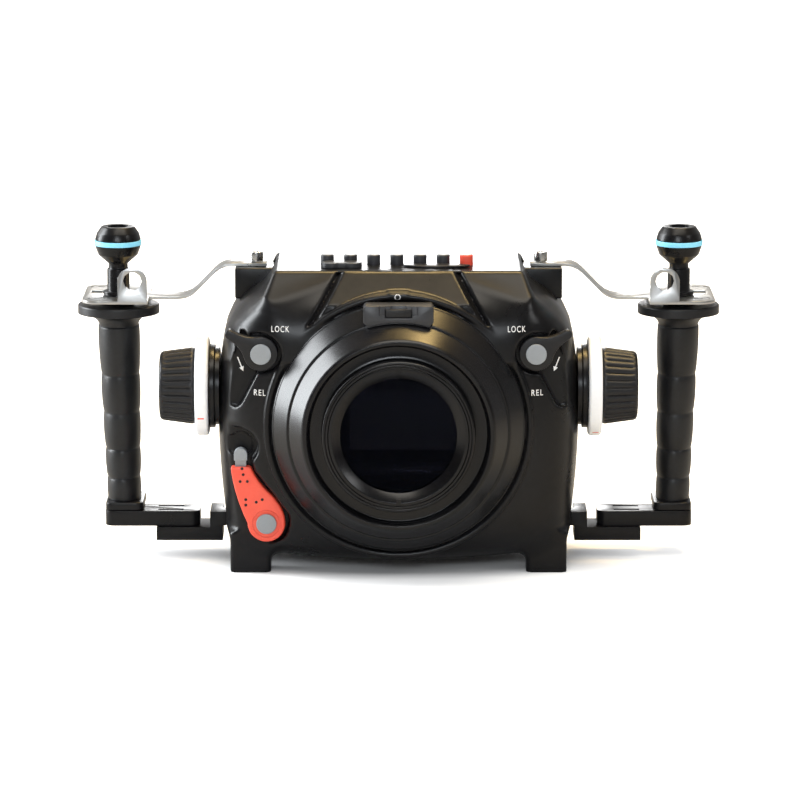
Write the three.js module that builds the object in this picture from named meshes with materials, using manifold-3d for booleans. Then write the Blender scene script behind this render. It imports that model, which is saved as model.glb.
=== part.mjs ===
// Underwater camera housing with two hand grips, a flat port and mounting balls.
// Millimetres, +Z up, the port faces -Y. Y = 0 is the plane through the two mounting balls.
import * as THREE from 'three';
import { mergeVertices } from 'three/addons/utils/BufferGeometryUtils.js';
import Module from 'manifold-3d';

const wasm = await Module();
wasm.setup();

// Fits
const fitGap = 0.3;
const overrun = 2;

// Main sizes, which the other pieces follow
const flangeRadius = 68.4;
const collarRim = 2.6;
const collarRadius = flangeRadius + collarRim;
const bodySideMargin = 27.3;
const bodyHalfWidth = collarRadius + bodySideMargin;
const bellyZ = 4.7;

// Body outline, seen from the front, right half
const bellyMargin = 8.3;
const portAxisZ = bellyZ + bellyMargin + collarRadius;
const bellyEdgeInset = 30.8;
const bellyEdgeX = bodyHalfWidth - bellyEdgeInset;
const bellyEdgeRise = 3;
const bellyEdgeZ = bellyZ + bellyEdgeRise;
const cornerPullInset = 6;
const cornerPullX = bodyHalfWidth - cornerPullInset;
const cornerPullRise = 3.7;
const cornerPullZ = bellyEdgeZ + cornerPullRise;
const cornerInset = 4.1;
const cornerX = bodyHalfWidth - cornerInset;
const cornerRise = 21.3;
const cornerZ = bellyZ + cornerRise;
const sidePullInset = 0.3;
const sidePullX = bodyHalfWidth - sidePullInset;
const sidePullDrop = 29;
const sidePullZ = portAxisZ - sidePullDrop;
const widestDrop = 4;
const widestZ = portAxisZ - widestDrop;
const crestMargin = 3.5;
const crestZ = portAxisZ + collarRadius + crestMargin;
const shoulderPullRise = 44;
const shoulderPullZ = widestZ + shoulderPullRise;
const shoulderTopPullInset = 5.8;
const shoulderTopPullX = bodyHalfWidth - shoulderTopPullInset;
const shoulderInset = 28.3;
const shoulderX = bodyHalfWidth - shoulderInset;
const shoulderDrop = 5.5;
const shoulderZ = crestZ - shoulderDrop;

// Front shell
const collarFrontY = -65;
const sideStartY = -24;
const flangeY = 20;
const sideWall = 6;
const frontWall = 19;
const collarWall = 11;
const cavityCollarRadius = collarRadius - collarWall;
const cavityFloorZ = 15;
const bulgePower = 2.6;

// Crown above the port
const crownRise = 7.2;
const crownTopZ = crestZ + crownRise;
const deckThickness = 27.7;
const cavityTopZ = crownTopZ - deckThickness;
const crownTopInset = 31;
const crownTopHalf = bodyHalfWidth - crownTopInset;
const crownFlare = 6.2;
const crownWaistHalf = crownTopHalf + crownFlare;
const crownWaistDrop = 13.7;
const crownWaistZ = crownTopZ - crownWaistDrop;
const crownRootDrop = 43.7;
const crownRootZ = crownTopZ - crownRootDrop;
const crownFrontY = -45;
const wingSlopeShare = 1;
const plateSlopeShare = 1.15;
const plateTopHalf = 29.5;
const plateSpread = 16;
const plateFootHalf = plateTopHalf + plateSpread;
const plateDrop = 26.7;
const plateFootZ = crownTopZ - plateDrop;
const plateRise = 0.8;
const grooveWidth = 3;
const grooveDepth = 2;
const collarStep = 1.2;

// Feet
const footInset = 6.6;
const footOuterX = bodyHalfWidth - footInset;
const footWidth = 22.1;
const footInnerX = footOuterX - footWidth;
const footFilletZ = 4;
const footFilletReach = 4;
const footRootRise = 14.3;
const footRootZ = bellyEdgeZ + footRootRise;
const frontFootY = -50;
const footLength = 18;

// Port, as distances in front of the collar's face
const mountRingInset = 6.4;
const mountRingRadius = flangeRadius - mountRingInset;
const mountRingThickness = 6.4;
const mountRingWall = 12;
const spigotRadius = mountRingRadius - mountRingWall;
const spigotLength = 18.5;
const spigotWall = 6;
const spigotBoreRadius = spigotRadius - spigotWall;
const flangeRim = 1.5;
const bandInset = 8.5;
const bandRadius = flangeRadius - bandInset;
const bandForward = 14;
const bandStep = 0.6;
const lipInset = 8.9;
const lipRadius = bandRadius - lipInset;
const lipForward = 26.5;
const lipChamfer = 1;
const lipWall = 2.4;
const lipInnerRadius = lipRadius - lipWall;
const recessForward = 20;
const recessWidth = 7.6;
const noseRadius = lipInnerRadius - recessWidth;
const noseForward = 29;
const noseChamfer = 0.8;
const noseWall = 3.5;
const glassRadius = noseRadius - noseWall;
const glassThickness = 4;
const glassSeatForward = 19.5;
const glassSeatWidth = 4.5;
const seatRadius = glassRadius - glassSeatWidth;
const seatThickness = 4;
const retainerOverhang = 2;
const clearRadius = seatRadius - retainerOverhang;
const retainerFace = 1.7;
const retainerMouthRadius = glassRadius - retainerFace;
const retainerRim = 1.2;
const spannerNotchWidth = 2.7;
const spannerNotchDepth = 3;

// Index block on top of the port
const indexHalfWidth = 18.75;
const indexPadHalfWidth = 7.5;
const indexPadHeight = 5.6;
const indexPadRise = 1.6;

// Latch levers
const latchAside = 3;
const latchX = collarRadius + latchAside;
const latchRise = 39.7;
const latchZ = portAxisZ + latchRise;
const latchHubRadius = 9.3;
const latchPocketRadius = 10.9;
const latchFloorY = -58;
const latchThickness = 6.6;
const latchArmReach = 22.3;
const latchArmWidth = 5;
const latchArmAngle = THREE.MathUtils.degToRad(148);
const latchShaftRadius = 4;
const latchClawRadius = 6.5;
const latchClawThickness = 3.5;
const latchClawSetback = 4;
const latchCapRadius = 5.6;
const latchCapThickness = 1.2;
// Corners of the latch recess, counted from the latch axis
const wedgeTopX = 10;
const wedgeTopZ = 12;
const wedgeSideX = 17.2;
const wedgeSideZ = -13.2;
const wedgeOuterX = 17.5;
const wedgeOuterZ = -26.9;
const wedgeFootX = 15.1;
const wedgeFootZ = -30.7;
const wedgeInnerX = 11.5;
const wedgeInnerZ = -28.6;
const wedgeHubX = 2.7;
const wedgeHubZ = -11.4;
const wedgeFloorY = -52;

// Port lock lever, on the left below the latch
const lockInset = 26.7;
const lockX = lockInset - bodyHalfWidth;
const lockRise = 24.8;
const lockZ = bellyZ + lockRise;
const lockEndRadius = 10.2;
const lockFloorY = -52.5;
const lockThickness = 7;
const lockTopRise = 31.2;
const lockTopZ = lockZ + lockTopRise;
const lockTopOuterReach = 19.2;
const lockTopOuterX = lockX - lockTopOuterReach;
const lockTopInnerReach = 8.3;
const lockTopInnerX = lockX - lockTopInnerReach;
const lockWaistRise = 16.2;
const lockWaistZ = lockZ + lockWaistRise;
const lockWaistOuterReach = 17.7;
const lockWaistOuterX = lockX - lockWaistOuterReach;
const lockWaistInnerReach = 2.5;
const lockWaistInnerX = lockX + lockWaistInnerReach;
const lockShoulderRise = 8;
const lockShoulderZ = lockZ + lockShoulderRise;
const lockPocketMargin = 2;
const lockPocketFall = 13;
const lockShaftRadius = 4;
const lockShaftLength = 21;
const lockCamRadius = 6.5;
const lockCamThickness = 3;
const lockCapRadius = 5.5;
const lockCapThickness = 1.4;
const pegWidth = 7.2;
const pegHeight = 10.2;
const pegThickness = 4.6;
const pegStemWidth = 6;
const pegStemLength = 9;
const pegStemThickness = 2.6;
const pegTravel = 3;
const pegAside = 13.8;
const pegX = lockX - pegAside;
const pocketHeadRise = 11.3;
const pocketHeadZ = lockTopZ + pocketHeadRise;
const pocketHeadRadius = 9.4;

// Pillars that carry the braces
const pillarInset = 8.7;
const pillarOuterX = bodyHalfWidth - pillarInset;
const pillarWidth = 21.9;
const pillarInnerX = pillarOuterX - pillarWidth;
const pillarHalfDepth = 11;
const pillarDrop = 3.9;
const pillarTopZ = crownTopZ - pillarDrop;
const pillarHeight = 17.3;
const pillarSeatZ = pillarTopZ - pillarHeight;

// Brackets, arms and grips
const bracketFloorZ = 9.6;
const bracketThickness = 7.4;
const bracketInset = 1.1;
const bracketUprightInnerX = bodyHalfWidth - bracketInset;
const bracketUprightThickness = 7;
const bracketUprightOuterX = bracketUprightInnerX + bracketUprightThickness;
const bracketReach = 29.6;
const bracketOuterX = bracketUprightOuterX + bracketReach;
const bracketUprightTopZ = 25.7;
const bracketHalfDepth = 12;
const spacerInset = 6;
const spacerBottomZ = 18;
const armGap = 5.6;
const armInnerX = bracketUprightOuterX + armGap;
const armHalfDepth = 10;
const armThickness = 8.3;
const armSlotHalfLength = 7;
const armSlotHalfWidth = 1.5;
const armSlotOffsetY = 5;
const armSlotInset = 16.4;
const armSlotX = armInnerX + armSlotInset;
const gripBaseHalfWidth = 10.5;
const gripBaseFrontY = -10;
const gripBaseRearY = 22;
const gripBaseThickness = 4.4;
const gripBaseCorner = 4;
const armReach = 41.7;
const armEndReach = 10.7;
const armCorner = 5;
const gripFootX = armInnerX + armReach;
const gripFootY = 6;
const gripFootHalfWidth = 8.6;
const gripFootHalfDepth = 13;
const gripLean = 2.5;
const gripHeadX = gripFootX + gripLean;
const gripHeadY = 0;
const gripHeadHalfWidth = 10.8;
const gripHeadHalfDepth = 15;
const gripLength = 98;
const gripFlareHeight = 7;
const gripDiscRadius = 22.4;
const gripDiscThickness = 5;
const gripBossRadius = 9;
const gripBossHeight = 2.7;
const gripStudBore = 3.3;
const gripStudBoreDepth = 16;
const fingerRidgeHeight = 1.6;
const fingerRidges = 4;
const ridgeSideShare = 0.4;

// Braces, mounting balls and their bolts
const braceThickness = 1.6;
const bracePlateInnerReach = 17;
const bracePlateInnerX = gripHeadX - bracePlateInnerReach;
const bracePlateOuterReach = 19.2;
const bracePlateOuterX = gripHeadX + bracePlateOuterReach;
const bracePlateFrontY = -22.5;
const bracePlateRearY = 36;
const bracePlateCorner = 9;
const bracePlateBore = 6.6;
const braceOpeningFrontY = 4.5;
const braceOpeningRearY = 16;
const braceOpeningMargin = 3.6;
const braceTabInset = 0.2;
const braceTabInnerX = bracePlateInnerX + braceTabInset;
const braceTabWidth = 16;
const braceTabOuterX = braceTabInnerX + braceTabWidth;
const braceTabHeight = 18.4;
const braceTabCorner = 7.6;
const braceHoleInset = 7.9;
const braceHoleX = braceTabInnerX + braceHoleInset;
const braceHoleHeight = 11.2;
const braceHoleRadius = 5.1;
const braceStripHalfWidth = 8;
const braceStripY = 2.5;
const braceBend = 6;
const braceRunOut = 22;
const braceRampFootX = bracePlateInnerX - braceRunOut;
const braceRampLength = 18;
const braceRampHeadX = braceRampFootX - braceRampLength;
const braceEndInset = 4.8;
const braceEndX = pillarInnerX + braceEndInset;
const braceBoltInset = 5.5;
const braceBoltX = braceEndX + braceBoltInset;
const braceBoltRadius = 2.4;
const boltHeadRadius = 3.7;
const boltHeadHeight = 5.4;
const boltSocketRadius = 2;
const boltSocketDepth = 2.8;
const boltGrip = 12;
const ballRadius = 12.7;
const ballRise = 29.3;
const ballTopRadius = 9;
const ballNeckRadius = 5.25;
const ballStemRadius = 6.15;
const ballStemTop = 14.8;
const ballCollarRadius = 8.4;
const ballCollarHeight = 2.2;
const ballStudRadius = 3;
const ballStudLength = 14;
const ballSocketRadius = 4.2;
const ballSocketDepth = 5;
const bandHalfHeight = 1.35;
const bandProud = 0.2;
const bandGrooveDepth = 1.1;

// Side knobs and the gears behind them
const knobY = -20;
const knobRise = 14.2;
const knobZ = portAxisZ + knobRise;
const glandStandoff = 1.9;
const glandFlangeX = bodyHalfWidth + glandStandoff;
const glandFlangeRadius = 23;
const glandFlangeThickness = 3;
const glandNeckRadius = 21.3;
const glandSleeveRadius = 8;
const glandSleeveReach = 12.3;
const glandSleeveInnerX = bodyHalfWidth - glandSleeveReach;
const discRadius = 27.2;
const discThickness = 7.3;
const discEdge = 1;
const knobRootRadius = 21.3;
const knobTipRadius = 18.7;
const knobLength = 19.5;
const knobEdge = 2.6;
const knobFlutes = 20;
const knobFluteDepth = 0.9;
const knobShaftRadius = 4;
const knobShaftReach = 12;
const gearInset = 24.3;
const gearInnerX = bodyHalfWidth - gearInset;
const gearWidth = 6;
const toothPitchRadiusShare = 0.75;
const toothSize = 1;
const toothTipShare = 0.9;
const toothRootShare = 1.25;
const driveTeeth = 16;
const idlerTeeth = 12;
const idlerBore = 2.7;
const idlerBossRadius = 5;
const idlerPinOverhang = 2;
const idlerPinRadius = idlerBore - fitGap;

// Buttons on the deck
const buttonRadius = 3.6;
const buttonPitch = 12.6;
const buttonCount = 7;
const buttonRowCentreX = -0.9;
const buttonY = -23.4;
const buttonHeight = 5.8;
const buttonSink = 2.9;
const buttonTravel = 2.5;
const buttonChamfer = 0.5;
const stemRadius = 1.6;
const clipRadius = 3;
const clipThickness = 1.2;
const leverLeftX = -36.2;
const leverRightX = -25.4;
const leverY = -33.2;
const leverLobeRadius = 5.6;
const leverThickness = 2.8;
const leverWaistHalf = 4.4;
const leverPinRadius = 2.2;
const leverPinDepth = 6;
const plaqueX = 20.6;
const plaqueY = -32.8;
const plaqueHalfLength = 18.2;
const plaqueHalfWidth = 4.8;
const plaqueThickness = 1.3;

// Rear cover
const coverThickness = 12;
const coverEdgeChamfer = 2.5;
const coverWall = 7;
const coverRebate = 5;
const windowCentreX = 16;
const windowCentreZ = portAxisZ;
const windowHalfWidth = 41;
const windowHalfHeight = 30;
const windowThickness = 5;
const windowLedge = 4;
const ringGrooveInset = 1.6;
const ringWidth = 2.2;
const ringDepth = 2;
const rearButtonRadius = 4.2;
const rearButtonHeight = 3.4;
const rearButtonSink = 3.2;
const rearButtonInset = 34.3;
const rearButtonX = rearButtonInset - bodyHalfWidth;
const rearButtonStep = 15;
const rearButtonRows = 3;
const rearButtonRise = 38;
const rearButtonTopZ = portAxisZ + rearButtonRise;
const rearDialDrop = 20;
const rearDialZ = portAxisZ - rearDialDrop;
const rearDialRadius = 13;
const rearDialHeight = 7.7;
const rearDialFlutes = 20;
const rearDialFluteDepth = 0.7;
const rearDialShaftRadius = 3;
const rearDialWheelRadius = 6;

// Camera tray
const trayHalfWidth = 55;
const trayTopZ = 50;
const trayThickness = 4;
const trayLegX = 30;
const trayLegThickness = 4;
const trayLegFoot = 6;
const trayFrontY = -22;
const trayRearY = 14;
const trayScrewY = -8;
const trayScrewRadius = 3;
const trayScrewHeadRadius = 8;
const trayScrewHeadHeight = 5;

// Counts of flats round the turned pieces
const fineTurn = 36;
const midTurn = 18;
const smallTurn = 12;
const tinyTurn = 8;
const outlineSteps = 5;
const cornerSteps = 3;
const bulgeSteps = 6;
const gripTurn = 14;
const ridgeSteps = 3;
const ballSteps = 2;

// Finishes
const blackAnodised = [0x1b1c1e, 0.38, 0.6];
const blackPlastic = [0x17181a, 0.55, 0];
const blackRubber = [0x141414, 0.75, 0];
const stainless = [0xc9c9c6, 0.28, 1];
const whitePlastic = [0xe9eaea, 0.4, 0];
const greyPlastic = [0x96a5aa, 0.45, 0];
const redPlastic = [0xe5533c, 0.45, 0];
const darkButton = [0x303135, 0.5, 0];
const blueRubber = [0x36a9e0, 0.6, 0];
const clearGlass = [0x0d1016, 0.05, 0];
const clearAcrylic = [0x30343a, 0.08, 0];
const brass = [0xb08d4a, 0.35, 1];

// Signed volume of a triangle list; negative when the faces point inwards.
function signedVolume(places, corners) {
  const a = new THREE.Vector3();
  const b = new THREE.Vector3();
  const c = new THREE.Vector3();
  let sum = 0;
  for (let i = 0; i < corners.length; i += 3) {
    a.fromBufferAttribute(places, corners[i]);
    b.fromBufferAttribute(places, corners[i + 1]);
    c.fromBufferAttribute(places, corners[i + 2]);
    sum += a.dot(b.cross(c));
  }
  return sum;
}

// Makes a closed geometry into a solid that can be joined and cut.
function solidOf(geometry) {
  const bare = geometry.clone();
  bare.deleteAttribute('normal');
  bare.deleteAttribute('uv');
  const merged = mergeVertices(bare);
  const places = merged.attributes.position;
  const source = merged.index.array;
  const corners = [];
  for (let i = 0; i < source.length; i += 3) {
    const [a, b, c] = source.slice(i, i + 3);
    if (a !== b && b !== c && a !== c) corners.push(a, b, c);
  }
  if (signedVolume(places, corners) < 0) corners.reverse();
  return new wasm.Manifold(new wasm.Mesh({
    numProp: 3,
    vertProperties: new Float32Array(places.array),
    triVerts: new Uint32Array(corners),
  }));
}

function join(...solids) {
  return solids.reduce((whole, piece) => whole.add(piece));
}

function cut(solid, ...tools) {
  return tools.reduce((rest, tool) => rest.subtract(tool), solid);
}

function box(x0, x1, y0, y1, z0, z1) {
  const geometry = new THREE.BoxGeometry(Math.abs(x1 - x0), Math.abs(y1 - y0), Math.abs(z1 - z0));
  geometry.translate((x0 + x1) / 2, (y0 + y1) / 2, (z0 + z1) / 2);
  return solidOf(geometry);
}

// Turned pieces: the profile is a list of [radius, height] along the axis named.
function lathe(profile, turns) {
  return new THREE.LatheGeometry(profile.map(([r, h]) => new THREE.Vector2(r, h)), turns);
}

function turnedX(profile, turns, y, z) {
  return solidOf(lathe(profile, turns).rotateZ(-Math.PI / 2).translate(0, y, z));
}

function turnedY(profile, turns, x, z) {
  return solidOf(lathe(profile, turns).translate(x, 0, z));
}

function turnedZ(profile, turns, x, y) {
  return solidOf(lathe(profile, turns).rotateX(Math.PI / 2).translate(x, y, 0));
}

function rod(radius, from, to) {
  return [[0, from], [radius, from], [radius, to], [0, to]];
}

function ringProfile(inner, outer, from, to) {
  return [[inner, from], [outer, from], [outer, to], [inner, to], [inner, from]];
}

// Extruded pieces: the shape is drawn as seen from the front (X, Z) or from above (X, Y).
function prismY(shape, y0, y1, curveSegments = outlineSteps) {
  const settings = { depth: y1 - y0, bevelEnabled: false, curveSegments };
  const geometry = new THREE.ExtrudeGeometry(shape, settings);
  return solidOf(geometry.rotateX(Math.PI / 2).translate(0, y1, 0));
}

function prismZ(shape, z0, z1, curveSegments = outlineSteps) {
  const settings = { depth: z1 - z0, bevelEnabled: false, curveSegments };
  return solidOf(new THREE.ExtrudeGeometry(shape, settings).translate(0, 0, z0));
}

function prismX(shape, x0, x1, y, z) {
  const settings = { depth: x1 - x0, bevelEnabled: false, curveSegments: outlineSteps };
  const geometry = new THREE.ExtrudeGeometry(shape, settings);
  return solidOf(geometry.rotateY(Math.PI / 2).translate(x0, y, z));
}

function polygon(points) {
  return new THREE.Shape(points.map(([x, y]) => new THREE.Vector2(x, y)));
}

// A prism along Y with one leaning end, which comes forward the further it is below topZ.
function leaningPrism(points, frontY, backY, frontLeans, slopeShare, topZ) {
  const settings = { depth: backY - frontY, bevelEnabled: false };
  const geometry = new THREE.ExtrudeGeometry(polygon(points), settings);
  geometry.rotateX(Math.PI / 2).translate(0, backY, 0);
  const places = geometry.attributes.position;
  const middleY = (frontY + backY) / 2;
  for (let i = 0; i < places.count; i += 1) {
    const y = places.getY(i);
    if (y < middleY !== frontLeans) continue;
    places.setY(i, y - slopeShare * (topZ - places.getZ(i)));
  }
  return solidOf(geometry);
}

// Adds a named mesh to a group.
function place(group, name, solid, [color, roughness, metalness]) {
  const { vertProperties, triVerts } = solid.getMesh();
  const geometry = new THREE.BufferGeometry();
  geometry.setAttribute('position', new THREE.BufferAttribute(vertProperties, 3));
  geometry.setIndex(new THREE.BufferAttribute(triVerts, 1));
  geometry.computeVertexNormals();
  const material = new THREE.MeshStandardMaterial({ color, roughness, metalness });
  const mesh = new THREE.Mesh(geometry, material);
  mesh.name = name;
  group.add(mesh);
}

// The body's outline as [x, z] points, once round, from the belly up the right side.
function bodyOutline() {
  const path = new THREE.Path();
  path.moveTo(0, bellyZ);
  path.quadraticCurveTo(bellyEdgeX / 2, bellyZ, bellyEdgeX, bellyEdgeZ);
  path.quadraticCurveTo(cornerPullX, cornerPullZ, cornerX, cornerZ);
  path.quadraticCurveTo(sidePullX, sidePullZ, bodyHalfWidth, widestZ);
  path.bezierCurveTo(
    bodyHalfWidth, shoulderPullZ, shoulderTopPullX, shoulderZ, shoulderX, shoulderZ,
  );
  path.quadraticCurveTo(shoulderX / 2, crestZ, 0, crestZ);
  const right = path.getPoints(outlineSteps).map((p) => [p.x, p.y]);
  const left = right.slice(1, -1).reverse().map(([x, z]) => [-x, z]);
  return [...right, ...left];
}

const outline = bodyOutline();

// The same outline grown or shrunk about the port's axis, kept between two heights.
function grownOutline(growth, floorZ = -Infinity, topZ = Infinity) {
  return outline.map(([x, z]) => {
    const radius = Math.hypot(x, z - portAxisZ);
    const scale = (radius + growth) / radius;
    const height = portAxisZ + (z - portAxisZ) * scale;
    return [x * scale, Math.min(topZ, Math.max(floorZ, height))];
  });
}

// A body that swells from a round collar to the outline and then runs straight back.
function swollenBody(points, collar, frontY, straightY, backY) {
  const rings = [];
  for (let step = 0; step <= bulgeSteps; step += 1) {
    const turn = (step / bulgeSteps) * (Math.PI / 2);
    const outward = Math.sin(turn) ** (2 / bulgePower);
    const back = 1 - Math.max(0, Math.cos(turn)) ** (2 / bulgePower);
    rings.push(points.map(([x, z]) => {
      const reach = Math.hypot(x, z - portAxisZ);
      const scale = (collar + (reach - collar) * outward) / reach;
      return [x * scale, frontY + (straightY - frontY) * back, portAxisZ + (z - portAxisZ) * scale];
    }));
  }
  rings.push(points.map(([x, z]) => [x, backY, z]));
  return closedLoft(rings);
}

// A closed solid through rings of equally many points, capped with a fan at each end.
function closedLoft(rings) {
  const count = rings[0].length;
  const places = rings.flat(2);
  const ends = [rings[0], rings[rings.length - 1]];
  for (const ring of ends) {
    const centre = [0, 1, 2].map((axis) => ring.reduce((sum, p) => sum + p[axis], 0) / count);
    places.push(...centre);
  }
  const corners = [];
  for (let row = 0; row + 1 < rings.length; row += 1) {
    for (let i = 0; i < count; i += 1) {
      const a = row * count + i;
      const b = row * count + (i + 1) % count;
      corners.push(a, b, a + count, b, b + count, a + count);
    }
  }
  const firstCentre = rings.length * count;
  const lastRow = (rings.length - 1) * count;
  for (let i = 0; i < count; i += 1) {
    const next = (i + 1) % count;
    corners.push(firstCentre, next, i, firstCentre + 1, lastRow + i, lastRow + next);
  }
  const geometry = new THREE.BufferGeometry();
  geometry.setAttribute('position', new THREE.BufferAttribute(new Float32Array(places), 3));
  geometry.setIndex(corners);
  return solidOf(geometry);
}

// The body grown by the fit gap, which cuts what sits against it.
function bodyWithGap() {
  const points = grownOutline(fitGap);
  const frontY = collarFrontY - fitGap;
  return swollenBody(points, collarRadius + fitGap, frontY, sideStartY, flangeY);
}

// Front shell: the crown's two wings and the plate between them.
function crown() {
  const wings = [
    [-crownTopHalf, crownTopZ], [-crownWaistHalf, crownWaistZ], [-crownWaistHalf, crownRootZ],
    [crownWaistHalf, crownRootZ], [crownWaistHalf, crownWaistZ], [crownTopHalf, crownTopZ],
  ];
  const plate = [
    [-plateTopHalf, crownTopZ], [-plateFootHalf, plateFootZ],
    [plateFootHalf, plateFootZ], [plateTopHalf, crownTopZ],
  ];
  const limit = box(-bodyHalfWidth, bodyHalfWidth, collarFrontY + collarStep, flangeY, 0, crownTopZ);
  const plateFrontY = crownFrontY - plateRise;
  return join(
    leaningPrism(wings, crownFrontY, flangeY, true, wingSlopeShare, crownTopZ).intersect(limit),
    leaningPrism(plate, plateFrontY, flangeY, true, plateSlopeShare, crownTopZ).intersect(limit),
  );
}

// The slanted grooves that part the plate from the wings.
function crownGroove(side) {
  const topZ = crownTopZ + overrun;
  const footShare = (topZ - plateFootZ) / (crownTopZ - plateFootZ);
  const topX = plateFootHalf - (plateFootHalf - plateTopHalf) * footShare;
  const points = [
    [side * topX, topZ], [side * plateFootHalf, plateFootZ],
    [side * (plateFootHalf + grooveWidth), plateFootZ], [side * (topX + grooveWidth), topZ],
  ];
  const frontY = collarFrontY - frontWall;
  const planeY = crownFrontY + grooveDepth;
  const upper = leaningPrism(points, frontY, planeY, false, wingSlopeShare, crownTopZ);
  const lower = prismY(polygon(points), frontY, collarFrontY + collarStep + grooveDepth);
  return join(upper, lower);
}

function foot(side, frontY) {
  const shape = new THREE.Shape();
  shape.moveTo(side * footInnerX, 0);
  shape.lineTo(side * footOuterX, 0);
  shape.lineTo(side * footOuterX, footRootZ);
  shape.lineTo(side * (footInnerX - footFilletReach), footRootZ);
  shape.lineTo(side * (footInnerX - footFilletReach), bellyEdgeZ);
  shape.quadraticCurveTo(side * footInnerX, bellyEdgeZ, side * footInnerX, footFilletZ);
  return prismY(shape, frontY, frontY + footLength);
}

// The wedge-shaped recess in which a latch lever turns.
function latchPocket(side) {
  const frontY = collarFrontY - frontWall;
  const wedge = polygon([
    [wedgeTopX, wedgeTopZ], [wedgeSideX, wedgeSideZ], [wedgeOuterX, wedgeOuterZ],
    [wedgeFootX, wedgeFootZ], [wedgeInnerX, wedgeInnerZ], [wedgeHubX, wedgeHubZ], [0, 0],
  ].map(([x, z]) => [side * (latchX + x), latchZ + z]));
  const seat = rod(latchHubRadius, latchFloorY, wedgeFloorY + overrun);
  const hub = rod(latchPocketRadius, frontY, latchFloorY);
  const bore = rod(latchShaftRadius + fitGap, frontY, flangeY);
  return join(
    cut(prismY(wedge, frontY, wedgeFloorY), turnedY(seat, midTurn, side * latchX, latchZ)),
    turnedY(hub, midTurn, side * latchX, latchZ),
    turnedY(bore, smallTurn, side * latchX, latchZ),
  );
}

// The recess of the port lock lever, open towards the left, where the turned lever lies.
function lockPocket() {
  const frontY = collarFrontY - frontWall;
  const margin = lockPocketMargin;
  const outerX = -bodyHalfWidth - overrun;
  const shape = new THREE.Shape();
  shape.moveTo(outerX, pocketHeadZ);
  shape.lineTo(pegX - pocketHeadRadius, pocketHeadZ);
  shape.absarc(pegX, pocketHeadZ, pocketHeadRadius, Math.PI, 0, true);
  shape.lineTo(lockTopInnerX + margin, lockTopZ - margin);
  shape.lineTo(lockWaistInnerX + margin, lockWaistZ);
  const rightX = lockX + lockEndRadius + margin;
  shape.quadraticCurveTo(rightX, lockShoulderZ, rightX, lockZ);
  shape.absarc(lockX, lockZ, lockEndRadius + margin, 0, -Math.PI / 2, true);
  shape.lineTo(outerX, lockZ - lockEndRadius - margin - lockPocketFall);
  const bore = rod(lockShaftRadius + fitGap, frontY, lockFloorY + lockShaftLength);
  return join(
    prismY(shape, frontY, lockFloorY),
    turnedY(bore, smallTurn, lockX, lockZ),
  );
}

// The X places of the buttons along the deck.
function buttonPlaces() {
  const firstX = buttonRowCentreX - (buttonPitch * (buttonCount - 1)) / 2;
  return Array.from({ length: buttonCount }, (_, i) => firstX + i * buttonPitch);
}

// A well for a button's cap and a bore for its stem.
function buttonBore(x) {
  const wellFloor = crownTopZ - buttonSink - buttonTravel - fitGap;
  const well = rod(buttonRadius + fitGap, wellFloor, crownTopZ + overrun);
  const bore = rod(stemRadius + fitGap, cavityTopZ - overrun, wellFloor + overrun);
  return join(turnedZ(well, smallTurn, x, buttonY), turnedZ(bore, tinyTurn, x, buttonY));
}

function idlerPin(side) {
  const wallX = bodyHalfWidth - sideWall / 2;
  const bossX = gearInnerX + gearWidth + fitGap;
  const profile = [
    [0, side * wallX], [idlerBossRadius, side * wallX], [idlerBossRadius, side * bossX],
    [idlerPinRadius, side * bossX], [idlerPinRadius, side * (gearInnerX - idlerPinOverhang)],
    [0, side * (gearInnerX - idlerPinOverhang)],
  ];
  return turnedX(profile, smallTurn, knobY + gearDistance(), knobZ);
}

function pillarNotch(side) {
  const margin = pillarHalfDepth + fitGap;
  const innerX = side * (pillarInnerX - fitGap);
  const outerX = side * (bodyHalfWidth + overrun);
  return box(innerX, outerX, -margin, margin, pillarSeatZ, crownTopZ + overrun);
}

function ringGroove() {
  const outer = polygon(grownOutline(-ringGrooveInset));
  const inner = polygon(grownOutline(-ringGrooveInset - ringWidth - 2 * fitGap));
  const floorY = flangeY - ringDepth - fitGap;
  const backY = flangeY + overrun;
  return cut(prismY(outer, floorY, backY), prismY(inner, floorY - overrun, backY));
}

function frontShell() {
  const outer = join(
    swollenBody(outline, collarRadius, collarFrontY, sideStartY, flangeY),
    crown(),
    ...[-1, 1].flatMap((side) => [foot(side, frontFootY), foot(side, flangeY - footLength)]),
  );
  const cavity = swollenBody(
    grownOutline(-sideWall, cavityFloorZ, cavityTopZ),
    cavityCollarRadius,
    collarFrontY + frontWall,
    sideStartY + sideWall,
    flangeY + overrun,
  );
  const boreFrontY = collarFrontY - overrun;
  const seatY = collarFrontY + mountRingThickness + 2 * fitGap;
  const mountSeat = turnedY(rod(mountRingRadius + fitGap, boreFrontY, seatY), fineTurn, 0, portAxisZ);
  const lensBore = turnedY(
    rod(spigotRadius + 2 * fitGap, boreFrontY, collarFrontY + frontWall + overrun),
    fineTurn, 0, portAxisZ,
  );
  const shell = cut(
    outer, cavity, mountSeat, lensBore, lockPocket(), ringGroove(),
    ...buttonPlaces().map(buttonBore),
    leverPivotBore(),
    ...[-1, 1].flatMap((side) => [
      crownGroove(side), latchPocket(side), pillarNotch(side), glandBore(side),
    ]),
  );
  return join(shell, idlerPin(-1), idlerPin(1));
}

function glandBore(side) {
  const from = side * (glandSleeveInnerX - overrun);
  const to = side * (glandFlangeX + overrun);
  return turnedX(rod(glandSleeveRadius + fitGap, from, to), smallTurn, knobY, knobZ);
}

function leverPivotBore() {
  const bottomZ = crownTopZ - leverPinDepth - fitGap;
  const bore = rod(leverPinRadius + fitGap, bottomZ, crownTopZ + overrun);
  return turnedZ(bore, tinyTurn, leverLeftX, leverY);
}

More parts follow.
